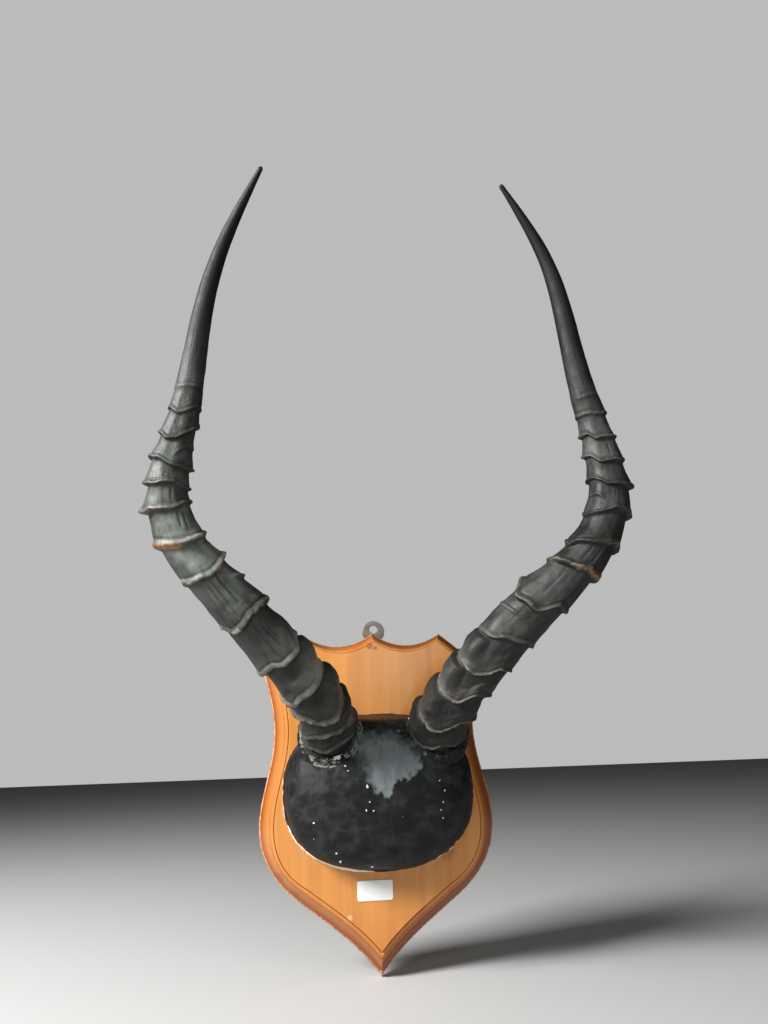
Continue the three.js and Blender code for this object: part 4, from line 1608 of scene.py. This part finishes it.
    def inside_patch(self, places: Array) -> Array:
        """Return how far inside the patch of painted reflection and bloom each (x, z) place lies,
        negative outside it.
        """
        corners = np.array(self.patch, float)
        nearest = np.full(len(places), np.inf)
        within = np.zeros(len(places), bool)
        for start, end in zip(corners, np.roll(corners, -1, axis=0)):
            edge = end - start
            offset = places - start
            share = np.clip(offset @ edge / (edge @ edge), 0, 1)
            nearest = np.minimum(nearest, np.linalg.norm(offset - share[:, None] * edge, axis=1))
            spans = (start[1] > places[:, 1]) != (end[1] > places[:, 1])
            rise = edge[1] if edge[1] else 1e-9
            within ^= spans & (places[:, 0] < start[0] + (places[:, 1] - start[1]) * edge[0] / rise)
        return np.where(within, nearest, -nearest)


# ---- The shield, its fittings and its label ----


@dataclass(frozen=True)
class ShieldOutline:
    """One half of a shield's outline: points and curve handles, as (x, z).

    From the peak a scoop leads to the corner and a slope to the shoulder, then the side runs by the
    waist, the hip and the flank to the tip. An entry or exit is a handle above or below its point.
    """

    peak: Point2
    scoop: Point2
    corner: Point2
    shoulder: Point2
    shoulder_handle: Point2
    waist_handle: Point2
    waist: Point2
    waist_exit: Point2
    hip_entry: Point2
    hip: Point2
    hip_exit: Point2
    flank_entry: Point2
    flank: Point2
    flank_exit: Point2
    tip_entry: Point2
    tip: Point2

    def curves(self) -> list[tuple[Point2, ...]]:
        """Return the half's curves and lines, from the tip round to the peak."""
        return [
            (self.tip, self.tip_entry, self.flank_exit, self.flank),
            (self.flank, self.flank_entry, self.hip_exit, self.hip),
            (self.hip, self.hip_entry, self.waist_exit, self.waist),
            (self.waist, self.waist_handle, self.shoulder_handle, self.shoulder),
            (self.shoulder, self.corner),
            (self.corner, self.scoop, self.peak),
        ]


@dataclass
class Shield:
    """The wooden shield with its moulded edge and flat back.

    Attributes:
        outer: Outline at the back.
        face: Outline of the raised face.
        moulding: (share of the way in, height) points of the moulded edge, back to face.
        steps: How many steps each curve of the outline takes.
        straight_steps: How many each straight line takes.
        face_rings: How many rings of points fill the face.
        quirk_height: Height of the bottom of the quirk.
        cove_height: Height of the middle of the cove.
        arris_height: Height of the moulding's lower rubbed edge.
        rim_height: Height of its upper rubbed edge.
        flat_height: Height from which the face is flat.
    """

    outer: ShieldOutline = ShieldOutline(
        peak=(0, 150.5), scoop=(33, 127.4), corner=(67, 149), shoulder=(107, 116),
        shoulder_handle=(100, 96), waist_handle=(95.8, 76), waist=(95.8, 58), waist_exit=(95.8, 28),
        hip_entry=(109, 2), hip=(109, -24), hip_exit=(109, -50), flank_entry=(96, -71),
        flank=(74, -87.5), flank_exit=(48, -107), tip_entry=(20, -124), tip=(0, -151),
    )
    face: ShieldOutline = ShieldOutline(
        peak=(0, 140.5), scoop=(31, 120.5), corner=(62.5, 140), shoulder=(91, 116),
        shoulder_handle=(85, 96), waist_handle=(80.8, 76), waist=(80.8, 58), waist_exit=(80.8, 28),
        hip_entry=(94, 4), hip=(94, -24), hip_exit=(94, -48), flank_entry=(85, -64),
        flank=(64.8, -75.6), flank_exit=(42, -92), tip_entry=(17, -108), tip=(0, -128.5),
    )
    moulding: tuple[Point2, ...] = (
        (0.03, 0.0), (0.0, 0.4), (0.0, 5.0), (0.012, 5.6), (0.04, 6.0), (0.075, 6.1), (0.085, 6.6),
        (0.11, 7.8), (0.15, 8.9), (0.20, 9.7), (0.27, 10.5), (0.34, 11.2), (0.40, 12.0),
        (0.45, 13.2), (0.51, 14.7), (0.58, 16.0), (0.66, 17.1), (0.74, 17.8), (0.82, 18.15),
        (0.90, 18.2), (0.93, 17.9), (0.945, 17.2), (0.96, 17.2), (0.972, 18.2), (0.98, 19.4),
        (0.988, 19.85), (1.0, 20.0),
    )
    steps: int = 22
    straight_steps: int = 6
    face_rings: int = 36
    quirk_height: float = 17.45
    cove_height: float = 8.6
    arris_height: float = 5.9
    rim_height: float = 19.7
    flat_height: float = 19.3

    def ring(self, share: float) -> Array:
        """Return the whole outline, as (x, z), at a share of the way from edge to face."""
        half = []
        for outer, face in zip(self.outer.curves(), self.face.curves()):
            handles = np.array(outer, float) * (1 - share) + np.array(face, float) * share
            order = len(handles) - 1
            steps = self.steps if order > 1 else self.straight_steps
            t = np.linspace(0, 1, steps, endpoint=False)[:, None]
            weights = [math.comb(order, k) * (1 - t) ** (order - k) * t**k for k in range(order + 1)]
            half.append(sum(w * handle for w, handle in zip(weights, handles)))
        peak = np.array(self.outer.peak, float) * (1 - share) + np.array(self.face.peak, float) * share
        right = np.concatenate([*half, peak[None]])
        left = right[1:-1][::-1] * (-1, 1)
        return np.concatenate([right, left])

    def build(self, cutters: Sequence[bpy.types.Object]) -> bpy.types.Object:
        """Return the shield with its holes and recess cut.

        Args:
            cutters: Closed shapes that are cut from it and removed.

        Returns:
            The finished mesh.
        """
        rows = []
        inner = np.linspace(1, 0, self.face_rings + 1)[1:-1]
        back = self.ring(self.moulding[0][0])
        rows += [(back * k, 0.0) for k in inner[::-1]]
        rows += [(self.ring(share), height) for share, height in self.moulding]
        rows += [(self.ring(1.0) * k, self.moulding[-1][1]) for k in inner]
        grid = np.array([
            np.stack([ring[:, 0], np.full(len(ring), -height), ring[:, 1]], axis=-1)
            for ring, height in rows
        ])
        piece = make_piece("plaque", *tube(grid))
        carve(piece, cutters)
        self.mark_channels(piece)
        crease(piece, 32)
        return piece

    def mark_channels(self, piece: bpy.types.Object) -> None:
        """Store how dark the moulding is, from stain and painted shade, and how rubbed its edges are."""
        points = places_of(piece)
        height = -points[:, 1]
        from_quirk = height - self.quirk_height
        # Painted shade: a thin dark line in the quirk, where its step would cast a shadow.
        quirk = hump(from_quirk, 0.45) * (np.abs(from_quirk) < 1.2)
        flat = (height > self.flat_height).astype(float)
        # Painted shade in the hollow of the cove.
        cove = hump(height - self.cove_height, 2.4)
        # Stain over the whole moulding, deepened on the right by painted shade, away from the key light.
        side = (0.55 + 0.3 * ease(-30.0, 30.0, points[:, 0])) * (1 - ease(15.0, 18.0, height))
        stain_and_shade = np.clip(0.95 * quirk + 0.5 * cove + side, 0, 1) * (1 - flat) * (height > 0.5)
        rim = hump(height - self.rim_height, 0.3)
        rub = np.maximum(hump(height - self.arris_height, 0.5), 0.35 * rim)
        mark(piece, Channel.MOULDING, stain_and_shade)
        mark(piece, Channel.WEAR, rub * 0.75)


@dataclass(frozen=True)
class Screw:
    """A slotted countersunk screw, driven from the back.

    Attributes:
        head_radius: Radius of its head.
        head_height: Depth of its countersunk head.
        shank_radius: Radius of its shank.
        length: Its whole length.
        recess: How far its head lies below the back.
        slot_turn: How its slot is turned, in degrees.
        pitch: Distance between two turns of its thread.
    """

    head_radius: float
    head_height: float
    shank_radius: float
    length: float
    recess: float = 0.2
    slot_turn: float = 20.0
    pitch: float = 1.6

    def build(self, name: str, centre: Point2) -> bpy.types.Object:
        """Return the screw.

        Args:
            name: The piece's name.
            centre: Where it is driven, as (x, z).

        Returns:
            The finished mesh.
        """
        head, shank = self.head_radius, self.shank_radius
        top, neck = -self.recess, -self.recess - self.head_height
        profile = [
            (0.2, top), (0.6 * head, top), (0.9 * head, top - 0.06), (head, top - 0.16),
            (head, top - 0.34), (shank + 0.12, neck), (shank, neck - 0.3),
        ]
        point = 3 * shank
        turns = int((self.length + neck - point) / self.pitch)
        for turn in range(1, turns):
            at = neck - 1.2 - self.pitch * turn
            profile += [(0.78 * shank, at + 0.5), (shank, at), (0.78 * shank, at - 0.5)]
        profile += [(0.7 * shank, point - self.length), (0.15, -self.length)]
        piece = lathe(name, profile, centre)
        carve(piece, [self.slot(centre, top)])
        face_outward(piece)
        crease(piece, 35)
        return piece

    def slot(self, centre: Point2, top: float) -> bpy.types.Object:
        """Return the bar that cuts the screwdriver slot."""
        long, wide, deep = self.head_radius + 1, 0.16 * self.head_radius, 0.5 * self.head_height
        turn = math.radians(self.slot_turn)
        corners = []
        for y in (top + 1.0, top - deep):
            for x, z in ((-long, -wide), (long, -wide), (long, wide), (-long, wide)):
                across = x * math.cos(turn) - z * math.sin(turn)
                up = x * math.sin(turn) + z * math.cos(turn)
                corners.append((centre[0] + across, y, centre[1] + up))
        return make_piece("slot", *tube(np.array(corners).reshape(2, 4, 3)))

    def hole(self, centre: Point2) -> bpy.types.Object:
        """Return the hole that the screw goes in, a little larger all round."""
        head, shank = self.head_radius + GAP, self.shank_radius + GAP
        neck = -self.recess - self.head_height
        profile = [(head, 1.0), (head, -self.recess - 0.3), (shank, neck), (shank, -self.length - GAP)]
        return lathe("hole", profile, centre)


@dataclass
class Hanger:
    """The steel eye plate let into the shield's back, with two screws.

    Attributes:
        thickness: The plate's thickness.
        centre_x: Its centre line.
        head_z: Centre of the round head.
        head_radius: The head's radius.
        hole_z: Centre of the eye.
        hole_radius: The eye's radius.
        neck_half: Half the neck's width.
        foot_z: Lowest point.
        screw_z: Heights of its screws.
        edge: Radius of its softened edges.
        screw: The screw that holds it, twice.
    """

    thickness: float = 1.6
    centre_x: float = 1.8
    head_z: float = 152.9
    head_radius: float = 11.0
    hole_z: float = 155.4
    hole_radius: float = 4.0
    neck_half: float = 8.0
    foot_z: float = 112.0
    screw_z: tuple[float, float] = (140.0, 119.0)
    edge: float = 0.3
    screw: Screw = Screw(head_radius=3.1, head_height=1.5, shank_radius=1.5, length=13.0)

    def outline(self, extra: float) -> list[Point2]:
        """Return the plate's outline, grown all round by extra."""
        head, neck = self.head_radius + extra, self.neck_half + extra
        meet = math.degrees(math.asin(neck / head))
        top = arc((self.centre_x, self.head_z), head, meet - 90, 270 - meet, 64)
        foot = arc((self.centre_x, self.foot_z + self.neck_half), neck, 180, 360, 32)
        return top + foot

    def recess(self) -> bpy.types.Object:
        """Return the recess that is cut in the shield's back."""
        outline = np.array(self.outline(GAP))
        rows = [
            np.stack([outline[:, 0], np.full(len(outline), depth), outline[:, 1]], axis=-1)
            for depth in (1.0, -self.thickness - GAP)
        ]
        return make_piece("recess", *tube(np.array(rows)))

    def screw_holes(self) -> list[bpy.types.Object]:
        """Return the holes of its two screws."""
        return [self.screw.hole((self.centre_x, z)) for z in self.screw_z]

    def build_plate(self) -> bpy.types.Object:
        """Return the eye plate, countersunk for its screws."""
        eye = arc((self.centre_x, self.hole_z), self.hole_radius, 360, 0, 49)[:-1]
        piece = rounded_plate("hanger_plate", [self.outline(0), eye], self.thickness, self.edge)
        carve(piece, self.screw_holes())
        face_outward(piece)
        crease(piece, 40)
        return piece


@dataclass
class SkullScrews:
    """The three long screws that hold the skull cap from behind.

    Attributes:
        places: Where they are driven, as (x, z).
        turns: How their slots are turned, in degrees.
        screw: One of them.
    """

    places: tuple[Point2, ...] = ((-30, 8), (32, 8), (1, -34))
    turns: tuple[float, ...] = (20.0, 75.0, -35.0)
    screw: Screw = Screw(head_radius=4.4, head_height=3.0, shank_radius=2.2, length=44.0)

    def holes(self) -> list[bpy.types.Object]:
        """Return the screws' holes."""
        return [self.screw.hole(place) for place in self.places]


@dataclass
class LotLabel:
    """The small white sticker below the dome, left blank.

    Attributes:
        width: Its width.
        height: Its height.
        thickness: How far it stands off the shield at most.
        corner: Radius of its corners.
        centre: Its middle, as (x, z).
        paper: How thick the paper is.
        rings: How many rings of points fill its front.
    """

    width: float = 32.0
    height: float = 16.5
    thickness: float = 0.36
    corner: float = 2.2
    centre: Point2 = (-4.8, -79.4)
    paper: float = 0.14
    rings: int = 18

    def build(self) -> bpy.types.Object:
        """Return the sticker, its corners a little lifted."""
        w, h = self.width / 2 - self.corner, self.height / 2 - self.corner
        outline = []
        for number, (x, z) in enumerate(((w, h), (-w, h), (-w, -h), (w, -h))):
            outline += arc((x, z), self.corner, 90 * number, 90 * number + 90, 10)
        outline = self.fill_sides(np.array(outline))
        shares = np.linspace(1, 0, self.rings + 1)[:-1]
        rows = []
        for face, paper in ((shares[::-1], 0.0), (shares, self.paper)):
            for share in face:
                flat = outline * share
                far = (np.abs(flat[:, 0]) / w) ** 4 * (np.abs(flat[:, 1]) / h) ** 4
                lift = 0.14 * np.clip(far, 0, 1) + 0.03 * np.sin(flat[:, 0] * 0.5)
                depth = np.clip(0.04 + lift + paper, 0.02, self.thickness)
                x, z = flat[:, 0] + self.centre[0], flat[:, 1] + self.centre[1]
                rows.append(np.stack([x, FACE_DEPTH - GAP - depth, z], axis=-1))
        piece = make_piece("lot_label", *tube(np.array(rows)))
        points = places_of(piece)
        beside = self.width / 2 - np.abs(points[:, 0] - self.centre[0])
        below = self.height / 2 - np.abs(points[:, 2] - self.centre[1])
        mark(piece, Channel.WEAR, 1 - ease(0.0, 1.2, np.minimum(beside, below)))
        crease(piece, 40)
        return piece

    @staticmethod
    def fill_sides(outline: Array, pitch: float = 1.2) -> Array:
        """Return the outline with points added along its straight sides."""
        filled = []
        for start, end in zip(outline, np.roll(outline, -1, axis=0)):
            count = max(1, round(float(np.linalg.norm(end - start)) / pitch))
            filled += [start + (end - start) * k / count for k in range(count)]
        return np.array(filled)


# ---- The studio ----


@dataclass(frozen=True)
class Softbox:
    """A square area light.

    Attributes:
        name: Its name.
        place: Where it stands.
        target: What it points at.
        size: Length of its sides.
        power: Its power in watts.
    """

    name: str
    place: Point3
    target: Point3
    size: float
    power: float

    def build(self) -> None:
        """Put the light in the scene."""
        lamp = bpy.data.lights.new(self.name, "AREA")
        lamp.size = self.size * MM
        lamp.energy = self.power
        light = bpy.data.objects.new(self.name, lamp)
        light.location = Vector(self.place) * MM
        aim = Vector(self.target) - Vector(self.place)
        light.rotation_euler = aim.to_track_quat("-Z", "Y").to_euler()
        bpy.context.scene.collection.objects.link(light)


@dataclass
class Studio:
    """Camera, lights, pale floor and pale surround.

    Attributes:
        camera_place: Where the camera stands.
        yaw: How far the camera turns to the viewer's right, in degrees.
        pitch: How far it tilts up.
        roll: How far it rolls.
        lens: Its focal length on a 36 mm sensor.
        floor_height: Height of the floor.
        floor_size: Length of the floor's sides.
        surround: Brightness of the surround as the camera sees it.
        ambient: Brightness of the light that it gives.
        softboxes: The lights.
    """

    camera_place: Point3 = (-54.2, -775.1, 40.7)
    yaw: float = 5.248
    pitch: float = 17.023
    roll: float = -2.028
    lens: float = 27.18
    floor_height: float = -151.6
    floor_size: float = 12000.0
    surround: float = 0.5
    ambient: float = 0.04
    softboxes: tuple[Softbox, ...] = (
        Softbox("key", (-1330, -830, 960), (-20, -120, 150), 560, 66.0),
        Softbox("window", (240, -1400, 1050), (0, -90, 60), 600, 3.2),
        Softbox("front", (260, -2300, 420), (0, -60, 60), 320, 2.0),
    )

    def build(self) -> None:
        """Set up the whole studio."""
        self.build_camera()
        for softbox in self.softboxes:
            softbox.build()
        self.build_floor()
        world = bpy.data.worlds.new("surround")
        world.use_nodes = True
        tree = world.node_tree
        seen = tree.nodes.new("ShaderNodeLightPath").outputs["Is Camera Ray"]
        strength = tree.nodes.new("ShaderNodeMapRange")
        strength.inputs["To Min"].default_value = self.ambient
        strength.inputs["To Max"].default_value = self.surround
        back = tree.nodes["Background"]
        back.inputs["Color"].default_value = (1.0, 1.0, 1.0, 1.0)
        tree.links.new(seen, strength.inputs["Value"])
        tree.links.new(strength.outputs[0], back.inputs["Strength"])
        bpy.context.scene.world = world
        bpy.context.scene.view_settings.view_transform = "Standard"

    def build_camera(self) -> None:
        """Make the camera and use it."""
        lens = bpy.data.cameras.new("camera")
        lens.lens = self.lens
        lens.sensor_width = 36.0
        lens.clip_start = 0.05
        lens.clip_end = 50.0
        camera = bpy.data.objects.new("camera", lens)
        yaw, pitch, roll = (math.radians(a) for a in (self.yaw, self.pitch, self.roll))
        turn = Matrix.Rotation(-yaw, 4, "Z") @ Matrix.Rotation(math.pi / 2 + pitch, 4, "X")
        turn = turn @ Matrix.Rotation(roll, 4, "Z")
        camera.matrix_world = Matrix.Translation(Vector(self.camera_place) * MM) @ turn
        bpy.context.scene.collection.objects.link(camera)
        bpy.context.scene.camera = camera

    def build_floor(self) -> None:
        """Lay the floor under the shield's tip."""
        half = self.floor_size / 2
        corners = [(-half, -half), (half, -half), (half, half), (-half, half)]
        points = np.array([(x, y, self.floor_height) for x, y in corners])
        mesh = bpy.data.meshes.new("floor")
        mesh.from_pydata((points * MM).tolist(), [], [[0, 1, 2, 3]])
        floor = bpy.data.objects.new("floor", mesh)
        bpy.context.scene.collection.objects.link(floor)
        paint = Recipe("floor_paint")
        paint.set(Base_Color=(0.60, 0.60, 0.59), Roughness=0.8)
        mesh.materials.append(paint.material)


# ---- The whole ----


def dress(piece: bpy.types.Object, node: str, finish: bpy.types.Material) -> None:
    """Give a piece its finish and let it stand for its node.

    Args:
        piece: The finished mesh.
        node: The node that it stands for.
        finish: Its material.
    """
    piece.data.materials.clear()
    piece.data.materials.append(finish)
    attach(piece, BODY)
    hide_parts(node)
    LOG.info("%s: %d faces", piece.name, len(piece.data.polygons))


def corners(box: tuple[Vector, Vector]) -> list[list[float]]:
    """Return a box's two corners as plain lists."""
    return [list(corner) for corner in box]


def main() -> None:
    """Build the studio and the trophy, piece by piece."""
    logging.basicConfig(level=logging.INFO, format="%(message)s")
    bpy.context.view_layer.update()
    Studio().build()

    hanger, skull_screws = Hanger(), SkullScrews()
    wood = VarnishedWood().material()
    cutters = [hanger.recess(), *hanger.screw_holes(), *skull_screws.holes()]
    dress(Shield().build(cutters), "plaque", wood)

    horn_finish = HornKeratin().material()
    for horn in (LEFT_HORN, RIGHT_HORN):
        dress(horn.build(), horn.name, horn_finish)
    cap = SkullCap().build((LEFT_HORN, RIGHT_HORN))
    dress(cap, "skull_cap", PaintedPlaster().material())

    dress(hanger.build_plate(), "hanger_plate", PLATE_STEEL.material())
    screw_steel = SCREW_STEEL.material()
    for number, z in enumerate(hanger.screw_z, start=1):
        name = f"hanger_screw_{number}"
        dress(hanger.screw.build(name, (hanger.centre_x, z)), name, screw_steel)
    for number, (place, turn) in enumerate(zip(skull_screws.places, skull_screws.turns), start=1):
        name = f"mounting_screw_{number}"
        screw = replace(skull_screws.screw, slot_turn=turn)
        dress(screw.build(name, place), name, screw_steel)
    dress(LotLabel().build(), "lot_label", StickerPaper().material())


if __name__ == "__main__":
    main()
